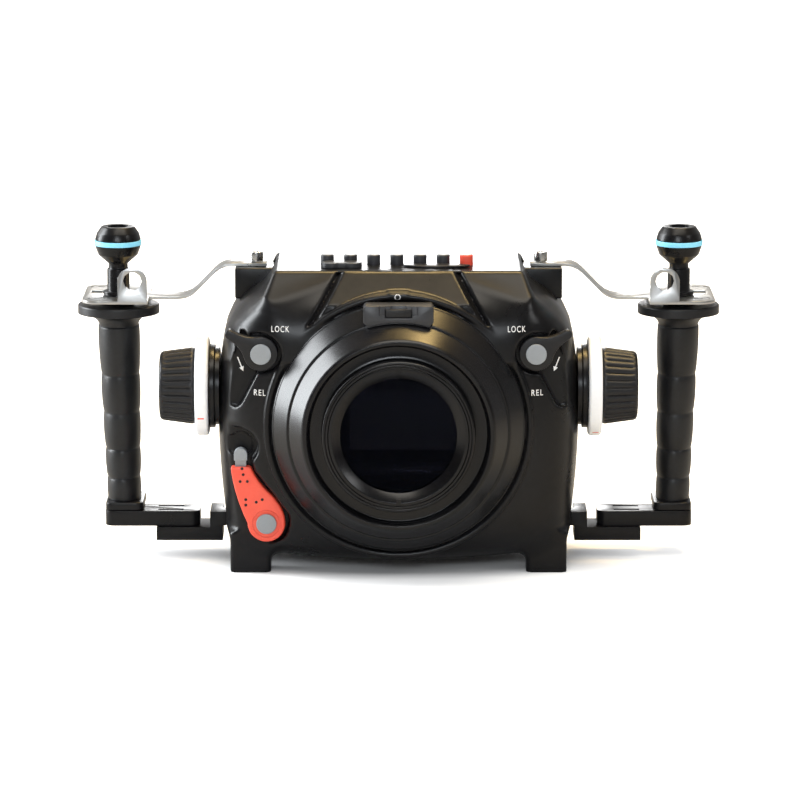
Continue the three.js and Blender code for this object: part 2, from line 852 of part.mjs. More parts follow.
// Port mount ring: sits in the collar and takes the port's spigot.
function mountRing() {
  const frontY = collarFrontY + fitGap;
  const backY = frontY + mountRingThickness;
  const profile = ringProfile(spigotRadius + fitGap, mountRingRadius, frontY, backY);
  return turnedY(profile, fineTurn, 0, portAxisZ);
}

// Port barrel, drawn forward from the collar's face: heights count towards the front.
function forward(profile) {
  return profile.map(([r, f]) => [r, collarFrontY - fitGap - f]);
}

function portBarrel() {
  const seatBack = glassSeatForward - seatThickness;
  return turnedY(forward([
    [spigotBoreRadius, -spigotLength],
    [spigotRadius, -spigotLength],
    [spigotRadius, 0],
    [flangeRadius, 0],
    [flangeRadius, flangeRim],
    [bandRadius, bandForward],
    [bandRadius - bandStep, bandForward],
    [lipRadius + lipChamfer, lipForward - lipChamfer],
    [lipRadius, lipForward],
    [lipInnerRadius, lipForward],
    [lipInnerRadius, recessForward],
    [noseRadius, recessForward],
    [noseRadius, noseForward - noseChamfer],
    [noseRadius - noseChamfer, noseForward],
    [glassRadius + fitGap, noseForward],
    [glassRadius + fitGap, glassSeatForward],
    [seatRadius, glassSeatForward],
    [seatRadius, seatBack],
    [glassRadius + fitGap, seatBack - seatThickness],
    [spigotBoreRadius, -spigotLength],
  ]), fineTurn, 0, portAxisZ);
}

function portGlass() {
  const from = glassSeatForward + fitGap;
  return turnedY(forward(rod(glassRadius, from, from + glassThickness)), fineTurn, 0, portAxisZ);
}

function portRetainer() {
  const back = glassSeatForward + glassThickness + 2 * fitGap;
  const ring = turnedY(forward([
    [clearRadius, back],
    [glassRadius, back],
    [glassRadius, noseForward],
    [retainerMouthRadius, noseForward],
    [clearRadius, back + retainerRim],
    [clearRadius, back],
  ]), fineTurn, 0, portAxisZ);
  const noseY = collarFrontY - fitGap - noseForward;
  const half = spannerNotchWidth / 2;
  const notches = [-1, 1].map((side) => {
    const innerZ = portAxisZ + side * (retainerMouthRadius - spannerNotchDepth);
    const outerZ = portAxisZ + side * (glassRadius + overrun);
    return box(-half, half, noseY - overrun, noseY + retainerRim, innerZ, outerZ);
  });
  return cut(ring, ...notches);
}

// The port's outer cone, grown by the gap, which hollows the index block's underside.
function portConeWithGap() {
  return turnedY(forward([
    [0, -overrun],
    [flangeRadius + fitGap, -overrun],
    [flangeRadius + fitGap, flangeRim],
    [bandRadius + fitGap, bandForward],
    [bandRadius - bandStep, bandForward + overrun],
    [0, bandForward + overrun],
  ]), fineTurn, 0, portAxisZ);
}

function indexBlock() {
  const topZ = portAxisZ + flangeRadius;
  const frontY = collarFrontY - fitGap - bandForward;
  const backY = collarFrontY - fitGap - flangeRim - fitGap;
  const rootZ = portAxisZ + lipRadius;
  const block = box(-indexHalfWidth, indexHalfWidth, frontY, backY, rootZ, topZ);
  const padRoot = topZ - indexPadHeight;
  const pad = box(-indexPadHalfWidth, indexPadHalfWidth, frontY - indexPadRise, backY, padRoot, topZ);
  const below = turnedY(
    rod(bandRadius + fitGap, frontY - overrun - indexPadRise, backY + overrun), fineTurn, 0, portAxisZ,
  );
  return cut(join(block, pad), portConeWithGap(), below);
}

// Latch lever: hub, arm and a shaft that runs to the claw behind the flange.
function latchLever(side) {
  const hubBackY = latchFloorY - fitGap;
  const hubFrontY = hubBackY - latchThickness;
  const clawY = flangeY - latchClawSetback - latchClawThickness;
  const hub = turnedY(rod(latchHubRadius, hubFrontY, hubBackY), midTurn, side * latchX, latchZ);
  const half = latchArmWidth / 2;
  const arm = new THREE.Shape();
  arm.moveTo(0, -half);
  arm.lineTo(latchArmReach - half, -half);
  arm.absarc(latchArmReach - half, 0, half, -Math.PI / 2, Math.PI / 2, false);
  arm.lineTo(0, half);
  const bar = new THREE.ExtrudeGeometry(arm, {
    depth: latchThickness - fitGap, bevelEnabled: false, curveSegments: outlineSteps,
  });
  const angle = side < 0 ? latchArmAngle : Math.PI - latchArmAngle;
  bar.rotateZ(angle).rotateX(Math.PI / 2).translate(side * latchX, hubBackY, latchZ);
  const shaft = turnedY([
    [0, hubBackY - overrun], [latchShaftRadius, hubBackY - overrun], [latchShaftRadius, clawY],
    [latchClawRadius, clawY], [latchClawRadius, clawY + latchClawThickness],
    [0, clawY + latchClawThickness],
  ], smallTurn, side * latchX, latchZ);
  return join(hub, solidOf(bar), shaft);
}

function latchCap(side) {
  const backY = latchFloorY - 2 * fitGap - latchThickness;
  const profile = rod(latchCapRadius, backY - latchCapThickness, backY);
  return turnedY(profile, midTurn, side * latchX, latchZ);
}

// Port lock lever with its shaft and the cam behind the wall.
function lockOutline() {
  const shape = new THREE.Shape();
  shape.moveTo(lockTopOuterX, lockTopZ);
  shape.quadraticCurveTo(lockWaistOuterX, lockWaistZ, lockX - lockEndRadius, lockZ);
  shape.absarc(lockX, lockZ, lockEndRadius, Math.PI, Math.PI * 2, false);
  shape.quadraticCurveTo(lockX + lockEndRadius, lockShoulderZ, lockWaistInnerX, lockWaistZ);
  shape.lineTo(lockTopInnerX, lockTopZ);
  return shape;
}

function lockLever() {
  const backY = lockFloorY - fitGap;
  const frontY = backY - lockThickness;
  const camY = lockFloorY + lockShaftLength;
  const plate = prismY(lockOutline(), frontY, backY);
  const shaft = turnedY([
    [0, backY - overrun], [lockShaftRadius, backY - overrun], [lockShaftRadius, camY],
    [lockCamRadius, camY], [lockCamRadius, camY + lockCamThickness], [0, camY + lockCamThickness],
  ], smallTurn, lockX, lockZ);
  const stemHalf = pegStemWidth / 2 + fitGap;
  const slotFloorZ = lockTopZ - pegStemLength - pegTravel - fitGap;
  const slotHalf = pegStemThickness / 2 + fitGap;
  const middleY = (frontY + backY) / 2;
  const slot = box(
    pegX - stemHalf, pegX + stemHalf,
    middleY - slotHalf, middleY + slotHalf,
    slotFloorZ, lockTopZ + overrun,
  );
  return cut(join(plate, shaft), slot);
}

function lockCap() {
  const frontY = lockFloorY - fitGap - lockThickness - fitGap;
  return turnedY(rod(lockCapRadius, frontY - lockCapThickness, frontY), midTurn, lockX, lockZ);
}

// The safety peg in the lever's free end: pressed down, it frees the lever.
function lockPeg() {
  const middleY = lockFloorY - fitGap - lockThickness / 2;
  const half = pegWidth / 2;
  const bottomZ = lockTopZ + pegTravel + fitGap;
  const topZ = lockTopZ + pegHeight;
  const head = new THREE.Shape();
  head.moveTo(pegX - half, bottomZ);
  head.lineTo(pegX + half, bottomZ);
  head.lineTo(pegX + half, topZ - half);
  head.absarc(pegX, topZ - half, half, 0, Math.PI, false);
  const stemHalf = pegStemWidth / 2;
  return join(
    prismY(head, middleY - pegThickness / 2, middleY + pegThickness / 2),
    box(
      pegX - stemHalf, pegX + stemHalf,
      middleY - pegStemThickness / 2, middleY + pegStemThickness / 2,
      lockTopZ - pegStemLength, bottomZ + overrun,
    ),
  );
}

// Pillar on the shoulder, drilled for the brace bolt.
function pillar(side) {
  const seatZ = pillarSeatZ + fitGap;
  const innerX = side * pillarInnerX;
  const outerX = side * pillarOuterX;
  const block = box(innerX, outerX, -pillarHalfDepth, pillarHalfDepth, seatZ, pillarTopZ);
  const bore = rod(braceBoltRadius + fitGap, pillarTopZ - boltGrip, pillarTopZ + overrun);
  return cut(block, turnedZ(bore, tinyTurn, side * braceBoltX, 0));
}

// Bracket at the body's side, with the spacer that stands against the wall.
const bracketTopZ = bracketFloorZ + bracketThickness;

function bracket(side) {
  const depth = bracketHalfDepth;
  const innerX = side * bracketUprightInnerX;
  const uprightX = side * bracketUprightOuterX;
  const spacerX = side * (bracketUprightInnerX - spacerInset);
  const plate = box(innerX, side * bracketOuterX, -depth, depth, bracketFloorZ, bracketTopZ);
  const upright = box(innerX, uprightX, -depth, depth, bracketFloorZ, bracketUprightTopZ);
  const spacer = box(spacerX, uprightX, -depth, 0, spacerBottomZ, bracketUprightTopZ);
  return join(plate, upright, cut(spacer, bodyWithGap()));
}

const armBottomZ = bracketTopZ + fitGap;
const armTopZ = armBottomZ + armThickness;

function arm(side) {
  const shape = roundedRectangle(
    armInnerX, gripFootX + armEndReach, -armHalfDepth, armHalfDepth, armCorner,
  );
  const slots = [-1, 1].map((row) => {
    const y = row * armSlotOffsetY;
    return box(
      side * (armSlotX - armSlotHalfLength), side * (armSlotX + armSlotHalfLength),
      y - armSlotHalfWidth, y + armSlotHalfWidth, armBottomZ - overrun, armTopZ + overrun,
    );
  });
  return cut(mirrored(side, new THREE.ExtrudeGeometry(shape, {
    depth: armThickness, bevelEnabled: false, curveSegments: cornerSteps,
  }).translate(0, 0, armBottomZ)), ...slots);
}

// A geometry drawn on the right, kept or mirrored to the left.
function mirrored(side, geometry) {
  if (side < 0) geometry.scale(side, 1, 1);
  return solidOf(geometry);
}

function roundedRectangle(x0, x1, y0, y1, corner) {
  const shape = new THREE.Shape();
  shape.moveTo(x0 + corner, y0);
  shape.lineTo(x1 - corner, y0);
  shape.absarc(x1 - corner, y0 + corner, corner, -Math.PI / 2, 0, false);
  shape.lineTo(x1, y1 - corner);
  shape.absarc(x1 - corner, y1 - corner, corner, 0, Math.PI / 2, false);
  shape.lineTo(x0 + corner, y1);
  shape.absarc(x0 + corner, y1 - corner, corner, Math.PI / 2, Math.PI, false);
  shape.lineTo(x0, y0 + corner);
  shape.absarc(x0 + corner, y0 + corner, corner, Math.PI, Math.PI * 1.5, false);
  return shape;
}

const gripBaseBottomZ = armTopZ + fitGap;
const gripFootZ = gripBaseBottomZ + gripBaseThickness + fitGap;

function gripBase(side) {
  const centreX = side * gripFootX;
  const shape = roundedRectangle(
    centreX - gripBaseHalfWidth, centreX + gripBaseHalfWidth,
    gripBaseFrontY, gripBaseRearY, gripBaseCorner,
  );
  return prismZ(shape, gripBaseBottomZ, gripBaseBottomZ + gripBaseThickness, cornerSteps);
}

// Hand grip: an oval column with finger ridges that flares into a round disc.
const gripDiscBottomZ = gripFootZ + gripLength + gripFlareHeight;
const gripDiscTopZ = gripDiscBottomZ + gripDiscThickness;
const gripTopZ = gripDiscTopZ + gripBossHeight;

function gripRing(side, z, centreX, centreY, halfWidth, halfDepth, ridge) {
  return Array.from({ length: gripTurn }, (_, i) => {
    const turn = (i / gripTurn) * Math.PI * 2;
    const front = Math.max(0, -Math.sin(turn));
    return [
      side * centreX + Math.cos(turn) * (halfWidth + ridge * front * ridgeSideShare),
      centreY + Math.sin(turn) * (halfDepth + ridge * front),
      z,
    ];
  });
}

function grip(side) {
  const rings = [];
  const steps = fingerRidges * ridgeSteps;
  for (let step = 0; step <= steps; step += 1) {
    const share = step / steps;
    const ridge = fingerRidgeHeight * Math.sin(share * fingerRidges * Math.PI) ** 2;
    rings.push(gripRing(
      side,
      gripFootZ + gripLength * share,
      THREE.MathUtils.lerp(gripFootX, gripHeadX, share),
      THREE.MathUtils.lerp(gripFootY, gripHeadY, share),
      THREE.MathUtils.lerp(gripFootHalfWidth, gripHeadHalfWidth, share),
      THREE.MathUtils.lerp(gripFootHalfDepth, gripHeadHalfDepth, share),
      ridge,
    ));
  }
  const flareShares = [[0.5, 0.25], [0.85, 0.6], [1, 1]];
  for (const [riseShare, reachShare] of flareShares) {
    rings.push(gripRing(
      side,
      gripFootZ + gripLength + gripFlareHeight * riseShare,
      gripHeadX,
      gripHeadY,
      THREE.MathUtils.lerp(gripHeadHalfWidth, gripDiscRadius, reachShare),
      THREE.MathUtils.lerp(gripHeadHalfDepth, gripDiscRadius, reachShare),
      0,
    ));
  }
  const column = closedLoft(rings);
  const head = turnedZ([
    [0, gripDiscBottomZ - overrun], [gripHeadHalfWidth, gripDiscBottomZ - overrun],
    [gripHeadHalfWidth, gripDiscBottomZ - fitGap], [gripDiscRadius, gripDiscBottomZ - fitGap],
    [gripDiscRadius, gripDiscTopZ], [gripBossRadius, gripDiscTopZ], [gripBossRadius, gripTopZ],
    [0, gripTopZ],
  ], midTurn, side * gripHeadX, gripHeadY);
  const bore = rod(gripStudBore, gripTopZ - gripStudBoreDepth, gripTopZ + overrun);
  return cut(join(column, head), turnedZ(bore, tinyTurn, side * gripHeadX, gripHeadY));
}

// Stainless brace: end plate with a lanyard tab, and the strip up to the pillar.
const bracePlateZ = gripTopZ + fitGap;
const bracePlateTopZ = bracePlateZ + braceThickness;

function bracePlate() {
  const shape = new THREE.Shape();
  const outerX = bracePlateOuterX;
  const corner = bracePlateCorner;
  shape.moveTo(bracePlateInnerX, bracePlateFrontY);
  shape.lineTo(outerX - corner, bracePlateFrontY);
  shape.absarc(outerX - corner, bracePlateFrontY + corner, corner, -Math.PI / 2, 0, false);
  shape.lineTo(outerX, bracePlateRearY - corner);
  shape.absarc(outerX - corner, bracePlateRearY - corner, corner, 0, Math.PI / 2, false);
  shape.lineTo(bracePlateInnerX, bracePlateRearY);
  const settings = { depth: braceThickness, bevelEnabled: false, curveSegments: outlineSteps };
  return new THREE.ExtrudeGeometry(shape, settings).translate(0, 0, bracePlateZ);
}

// The opening behind the ball's stem, which stands in a bore of its own.
function braceOpening(side) {
  const innerX = bracePlateInnerX + braceOpeningMargin;
  const outerX = bracePlateOuterX - braceOpeningMargin;
  const topZ = bracePlateTopZ + overrun;
  const bore = rod(bracePlateBore, bracePlateZ - overrun, topZ);
  return join(
    box(
      side * innerX, side * outerX, braceOpeningFrontY, braceOpeningRearY,
      bracePlateZ - overrun, topZ,
    ),
    turnedZ(bore, midTurn, side * gripHeadX, gripHeadY),
  );
}

function braceTab() {
  const topZ = bracePlateTopZ + braceTabHeight;
  const corner = braceTabCorner;
  const shape = new THREE.Shape();
  shape.moveTo(braceTabInnerX, bracePlateZ);
  shape.lineTo(braceTabOuterX, bracePlateZ);
  shape.lineTo(braceTabOuterX, topZ - corner);
  shape.absarc(braceTabOuterX - corner, topZ - corner, corner, 0, Math.PI / 2, false);
  shape.lineTo(braceTabInnerX + corner, topZ);
  shape.absarc(braceTabInnerX + corner, topZ - corner, corner, Math.PI / 2, Math.PI, false);
  const hole = new THREE.Path();
  hole.absarc(braceHoleX, bracePlateTopZ + braceHoleHeight, braceHoleRadius, 0, Math.PI * 2, true);
  shape.holes.push(hole);
  const settings = { depth: braceThickness, bevelEnabled: false, curveSegments: outlineSteps };
  const backY = bracePlateFrontY + braceThickness;
  return new THREE.ExtrudeGeometry(shape, settings).rotateX(Math.PI / 2).translate(0, backY, 0);
}

function braceStrip() {
  const lowZ = bracePlateZ;
  const highZ = pillarTopZ + fitGap;
  const rootX = bracePlateInnerX + overrun;
  const footX = braceRampFootX;
  const headX = braceRampHeadX;
  const rampX = braceBend * (footX - headX) / Math.hypot(footX - headX, highZ - lowZ);
  const rampZ = braceBend * (highZ - lowZ) / Math.hypot(footX - headX, highZ - lowZ);
  const under = new THREE.Path();
  under.moveTo(rootX, lowZ);
  under.lineTo(footX + braceBend, lowZ);
  under.quadraticCurveTo(footX, lowZ, footX - rampX, lowZ + rampZ);
  under.lineTo(headX + rampX, highZ - rampZ);
  under.quadraticCurveTo(headX, highZ, headX - braceBend, highZ);
  under.lineTo(braceEndX, highZ);
  const line = under.getPoints(cornerSteps).map((p) => [p.x, p.y]);
  const over = line.map(([x, z]) => [x, z + braceThickness]).reverse();
  const settings = { depth: 2 * braceStripHalfWidth, bevelEnabled: false };
  const strip = new THREE.ExtrudeGeometry(polygon([...line, ...over]), settings);
  return strip.rotateX(Math.PI / 2).translate(0, braceStripY + braceStripHalfWidth, 0);
}

function brace(side) {
  const boltHole = rod(braceBoltRadius + fitGap, pillarTopZ, pillarTopZ + braceThickness + overrun);
  return cut(
    join(mirrored(side, bracePlate()), mirrored(side, braceTab()), mirrored(side, braceStrip())),
    braceOpening(side),
    turnedZ(boltHole, tinyTurn, side * braceBoltX, 0),
  );
}

function braceBolt(side) {
  const seatZ = pillarTopZ + fitGap + braceThickness + fitGap;
  const topZ = seatZ + boltHeadHeight;
  const rootZ = pillarTopZ - boltGrip + fitGap;
  return turnedZ([
    [0, rootZ], [braceBoltRadius, rootZ], [braceBoltRadius, seatZ], [boltHeadRadius, seatZ],
    [boltHeadRadius, topZ], [boltSocketRadius, topZ], [boltSocketRadius, topZ - boltSocketDepth],
    [0, topZ - boltSocketDepth],
  ], smallTurn, side * braceBoltX, 0);
}

// Mounting ball on its stem, with the stud that goes down into the grip.
const ballCentreZ = bracePlateTopZ + ballRise;

function ballArc(fromZ, toZ, steps) {
  return Array.from({ length: steps + 1 }, (_, i) => {
    const z = THREE.MathUtils.lerp(fromZ, toZ, i / steps);
    return [Math.sqrt(ballRadius ** 2 - z ** 2), ballCentreZ + z];
  });
}

function ballMount(side) {
  const stemRootZ = gripTopZ + fitGap;
  const collarZ = bracePlateTopZ + fitGap;
  const grooveRadius = ballRadius - bandGrooveDepth;
  const neckZ = -Math.sqrt(ballRadius ** 2 - ballNeckRadius ** 2);
  const topZ = Math.sqrt(ballRadius ** 2 - ballTopRadius ** 2);
  const grooveHalf = bandHalfHeight + fitGap;
  const socketZ = ballCentreZ + topZ - ballSocketDepth;
  return turnedZ([
    [0, stemRootZ - ballStudLength], [ballStudRadius, stemRootZ - ballStudLength],
    [ballStudRadius, stemRootZ], [ballStemRadius, stemRootZ],
    [ballStemRadius, collarZ], [ballCollarRadius, collarZ],
    [ballCollarRadius, collarZ + ballCollarHeight], [ballStemRadius, collarZ + ballCollarHeight],
    [ballStemRadius, bracePlateTopZ + ballStemTop],
    [ballNeckRadius, bracePlateTopZ + ballStemTop + fitGap],
    ...ballArc(neckZ, -grooveHalf, ballSteps),
    [grooveRadius, ballCentreZ - grooveHalf], [grooveRadius, ballCentreZ + grooveHalf],
    ...ballArc(grooveHalf, topZ, ballSteps),
    [ballSocketRadius, ballCentreZ + topZ], [ballSocketRadius, socketZ], [0, socketZ],
  ], midTurn, side * gripHeadX, gripHeadY);
}

function ballBand(side) {
  const inner = ballRadius - bandGrooveDepth + fitGap;
  const profile = ringProfile(
    inner, ballRadius + bandProud, ballCentreZ - bandHalfHeight, ballCentreZ + bandHalfHeight,
  );
  return turnedZ(profile, midTurn, side * gripHeadX, gripHeadY);
}

// Knob pieces, from the wall outwards.
const discX = glandFlangeX + glandFlangeThickness + fitGap;
const knobX = discX + discThickness + fitGap;

function gland(side) {
  const bore = knobShaftRadius + fitGap;
  const sleeveX = side * glandSleeveInnerX;
  const neckX = side * (bodyHalfWidth - overrun);
  const flangeX = side * glandFlangeX;
  const outerX = side * (glandFlangeX + glandFlangeThickness);
  const body = turnedX([
    [bore, sleeveX], [glandSleeveRadius, sleeveX], [glandSleeveRadius, neckX], [glandNeckRadius, neckX],
    [glandNeckRadius, flangeX], [glandFlangeRadius, flangeX], [glandFlangeRadius, outerX],
    [bore, outerX], [bore, sleeveX],
  ], midTurn, knobY, knobZ);
  const sleeve = rod(glandSleeveRadius + fitGap, side * (glandSleeveInnerX - overrun), outerX);
  const keptSleeve = turnedX(sleeve, smallTurn, knobY, knobZ);
  return cut(body, cut(bodyWithGap(), keptSleeve));
}

function knobDisc(side) {
  const bore = knobShaftRadius + fitGap;
  const outerX = discX + discThickness;
  return turnedX([
    [bore, side * discX], [discRadius - discEdge, side * discX],
    [discRadius, side * (discX + discEdge)], [discRadius, side * (outerX - discEdge)],
    [discRadius - discEdge, side * outerX], [bore, side * outerX], [bore, side * discX],
  ], midTurn, knobY, knobZ);
}

// A round outline with shallow flutes.
function flutedShape(radius, depth, flutes) {
  const points = [];
  for (let i = 0; i < flutes; i += 1) {
    const turn = (i / flutes) * Math.PI * 2;
    const step = (Math.PI * 2) / flutes;
    const fluteShares = [[0, radius], [0.6, radius], [0.8, radius - depth]];
    for (const [share, r] of fluteShares) {
      points.push([Math.cos(turn + step * share) * r, Math.sin(turn + step * share) * r]);
    }
  }
  return polygon(points);
}

function knob(side) {
  const tipX = knobX + knobLength;
  const from = side < 0 ? -tipX - overrun : knobX - overrun;
  const to = from + knobLength + 2 * overrun;
  const outlineShape = flutedShape(knobRootRadius, knobFluteDepth, knobFlutes);
  const fluted = prismX(outlineShape, from, to, knobY, knobZ);
  const envelope = turnedX([
    [0, side * knobX], [knobRootRadius, side * knobX],
    [knobTipRadius, side * (tipX - knobEdge)], [knobTipRadius - knobEdge, side * tipX], [0, side * tipX],
  ], midTurn, knobY, knobZ);
  const boreEndX = knobX + knobShaftReach + fitGap;
  const bore = rod(knobShaftRadius + fitGap, side * (knobX - overrun), side * boreEndX);
  return cut(fluted.intersect(envelope), turnedX(bore, smallTurn, knobY, knobZ));
}

// Spur gear outline; a tooth or a gap stands at the angle zero.
function gearShape(teeth, startsWithTooth) {
  const pitch = teeth * toothPitchRadiusShare * toothSize;
  const tip = pitch + toothTipShare * toothSize;
  const root = pitch - toothRootShare * toothSize;
  const points = [];
  for (let i = 0; i < teeth; i += 1) {
    const centre = ((i + (startsWithTooth ? 0 : 0.5)) / teeth) * Math.PI * 2;
    const step = (Math.PI * 2) / teeth;
    const flankShares = [[-0.27, root], [-0.12, tip], [0.12, tip], [0.27, root]];
    for (const [share, r] of flankShares) {
      points.push([Math.cos(centre + step * share) * r, Math.sin(centre + step * share) * r]);
    }
  }
  return polygon(points);
}

function gearDistance() {
  return (driveTeeth + idlerTeeth) * toothPitchRadiusShare * toothSize + fitGap;
}

// Shaft from the knob through the gland to the gear inside.
function driveShaft(side) {
  const shaft = turnedX(
    rod(knobShaftRadius, side * gearInnerX, side * (knobX + knobShaftReach)), smallTurn, knobY, knobZ,
  );
  const from = side < 0 ? -gearInnerX - gearWidth : gearInnerX;
  return join(shaft, prismX(gearShape(driveTeeth, true), from, from + gearWidth, knobY, knobZ));
}

function idlerGear(side) {
  const shape = gearShape(idlerTeeth, false);
  const bore = new THREE.Path();
  bore.absarc(0, 0, idlerBore, 0, Math.PI * 2, true);
  shape.holes.push(bore);
  const from = side < 0 ? -gearInnerX - gearWidth : gearInnerX;
  return prismX(shape, from, from + gearWidth, knobY + gearDistance(), knobZ);
}

// Deck buttons: cap, stem and the clip under the ceiling.
function topButton(x) {
  const bottomZ = crownTopZ - buttonSink;
  const topZ = crownTopZ + buttonHeight;
  const clipTopZ = cavityTopZ - fitGap;
  return turnedZ([
    [0, clipTopZ - clipThickness], [clipRadius, clipTopZ - clipThickness], [clipRadius, clipTopZ],
    [stemRadius, clipTopZ], [stemRadius, bottomZ], [buttonRadius, bottomZ],
    [buttonRadius, topZ - buttonChamfer], [buttonRadius - buttonChamfer, topZ], [0, topZ],
  ], smallTurn, x, buttonY);
}

function topLever() {
  const bottomZ = crownTopZ + fitGap;
  const topZ = bottomZ + leverThickness;
  const lobes = [leverLeftX, leverRightX].map(
    (x) => turnedZ(rod(leverLobeRadius, bottomZ, topZ), smallTurn, x, leverY),
  );
  const waist = box(
    leverLeftX, leverRightX, leverY - leverWaistHalf, leverY + leverWaistHalf, bottomZ, topZ,
  );
  const pin = rod(leverPinRadius, crownTopZ - leverPinDepth, bottomZ + fitGap);
  return join(...lobes, waist, turnedZ(pin, tinyTurn, leverLeftX, leverY));
}

function deckPlaque() {
  const shape = new THREE.Shape();
  shape.absellipse(plaqueX, plaqueY, plaqueHalfLength, plaqueHalfWidth, 0, Math.PI * 2, false);
  const bottomZ = crownTopZ + fitGap;
  return prismZ(shape, bottomZ, bottomZ + plaqueThickness, outlineSteps * 2);
}

// Rear cover with the window's ledge and the button bores.
const coverFrontY = flangeY + fitGap;
const coverRearY = coverFrontY + coverThickness;

function coverBlank() {
  const straightY = coverRearY - coverEdgeChamfer;
  const edge = grownOutline(0);
  const rear = grownOutline(-coverEdgeChamfer);
  const rings = [
    edge.map(([x, z]) => [x, coverFrontY, z]),
    edge.map(([x, z]) => [x, straightY, z]),
    rear.map(([x, z]) => [x, coverRearY, z]),
  ];
  return closedLoft(rings);
}

function coverRelief() {
  const points = grownOutline(-sideWall - coverWall, cavityFloorZ, cavityTopZ);
  return prismY(polygon(points), coverFrontY - overrun, coverFrontY + coverRebate);
}

function windowBox(grow, y0, y1) {
  const halfWidth = windowHalfWidth + grow;
  const halfHeight = windowHalfHeight + grow;
  return box(
    windowCentreX - halfWidth, windowCentreX + halfWidth, y0, y1,
    windowCentreZ - halfHeight, windowCentreZ + halfHeight,
  );
}

const windowRearY = coverRearY - fitGap;
const windowFrontY = windowRearY - windowThickness;

// A column of buttons above the dial and one below it, as [x, z].
const upperButtons = Array.from({ length: rearButtonRows }, (_, row) => rearButtonTopZ - row * rearButtonStep);
const lowerButton = rearDialZ - 2 * rearButtonStep;
const rearButtonPlaces = [...upperButtons, lowerButton].map((z) => [rearButtonX, z]);

function rearBore(x, z) {
  const wellY = coverRearY - rearButtonSink - buttonTravel - fitGap;
  const well = rod(rearButtonRadius + fitGap, wellY, coverRearY + overrun);
  const bore = rod(stemRadius + fitGap, coverFrontY - overrun, wellY + overrun);
  return join(turnedY(well, smallTurn, x, z), turnedY(bore, tinyTurn, x, z));
}

function rearCover() {
  const frontY = coverFrontY - overrun;
  const backY = coverRearY + overrun;
  const dialBore = rod(rearDialShaftRadius + fitGap, frontY, backY);
  return cut(
    coverBlank(),
    coverRelief(),
    windowBox(0, frontY, backY),
    windowBox(windowLedge + fitGap, windowFrontY - fitGap, backY),
    ...rearButtonPlaces.map(([x, z]) => rearBore(x, z)),
    turnedY(dialBore, tinyTurn, rearButtonX, rearDialZ),
  );
}

function rearWindow() {
  return windowBox(windowLedge, windowFrontY, windowRearY);
}

function rearButton([x, z]) {
  const bottomY = coverRearY - rearButtonSink;
  const topY = coverRearY + rearButtonHeight;
  const clipRearY = coverFrontY + coverRebate - fitGap;
  return turnedY([
    [0, clipRearY - clipThickness], [clipRadius, clipRearY - clipThickness], [clipRadius, clipRearY],
    [stemRadius, clipRearY], [stemRadius, bottomY], [rearButtonRadius, bottomY],
    [rearButtonRadius, topY - buttonChamfer], [rearButtonRadius - buttonChamfer, topY], [0, topY],
  ], smallTurn, x, z);
}

function rearDial() {
  const backY = coverRearY + fitGap;
  const wheelY = coverFrontY + coverRebate - fitGap;
  const settings = { depth: rearDialHeight - fitGap, bevelEnabled: false };
  const shape = flutedShape(rearDialRadius, rearDialFluteDepth, rearDialFlutes);
  const disc = new THREE.ExtrudeGeometry(shape, settings).rotateX(Math.PI / 2);
  disc.translate(rearButtonX, coverRearY + rearDialHeight, rearDialZ);
  const wheelFrontY = wheelY - clipThickness;
  const shaft = turnedY([
    [0, wheelFrontY], [rearDialWheelRadius, wheelFrontY], [rearDialWheelRadius, wheelY],
    [rearDialShaftRadius, wheelY], [rearDialShaftRadius, backY + overrun], [0, backY + overrun],
  ], smallTurn, rearButtonX, rearDialZ);
  return join(solidOf(disc), shaft);
}

function mainRing() {
  const outer = polygon(grownOutline(-ringGrooveInset - fitGap));
  const inner = polygon(grownOutline(-ringGrooveInset - fitGap - ringWidth));
  const fromY = flangeY - ringDepth;
  return cut(prismY(outer, fromY, flangeY), prismY(inner, fromY - overrun, flangeY + overrun));
}

// Camera tray: a plate on two legs, with the screw that holds the camera.
function cameraTray() {
  const floorZ = cavityFloorZ + fitGap;
  const plateZ = trayTopZ - trayThickness;
  const legs = [-1, 1].flatMap((side) => {
    const innerX = side * trayLegX;
    const outerX = side * (trayLegX + trayLegThickness);
    const footX = outerX + side * trayLegFoot;
    return [
      box(innerX, outerX, trayFrontY, trayRearY, floorZ, trayTopZ),
      box(innerX, footX, trayFrontY, trayRearY, floorZ, floorZ + trayLegThickness),
    ];
  });
  const plate = box(-trayHalfWidth, trayHalfWidth, trayFrontY, trayRearY, plateZ, trayTopZ);
  const bore = rod(trayScrewRadius + fitGap, plateZ - overrun, trayTopZ + overrun);
  return cut(join(plate, ...legs), turnedZ(bore, tinyTurn, 0, trayScrewY));
}

function trayScrew() {
  const headTopZ = trayTopZ - trayThickness - fitGap;
  return turnedZ([
    [0, headTopZ - trayScrewHeadHeight], [trayScrewHeadRadius, headTopZ - trayScrewHeadHeight],
    [trayScrewHeadRadius, headTopZ], [trayScrewRadius, headTopZ], [trayScrewRadius, trayTopZ],
    [0, trayTopZ],
  ], smallTurn, 0, trayScrewY);
}

// Assembly
const housing = new THREE.Group();

place(housing, 'front_shell', frontShell(), blackAnodised);
place(housing, 'port_mount_ring', mountRing(), stainless);
place(housing, 'main_o_ring', mainRing(), blueRubber);
place(housing, 'camera_tray', cameraTray(), blackAnodised);
place(housing, 'tray_screw', trayScrew(), stainless);
place(housing, 'deck_plaque', deckPlaque(), blackPlastic);
place(housing, 'top_lever', topLever(), darkButton);

buttonPlaces().forEach((x, i) => {
  const last = i === buttonCount - 1;
  place(housing, `top_button_${i + 1}`, topButton(x), last ? redPlastic : darkButton);
});

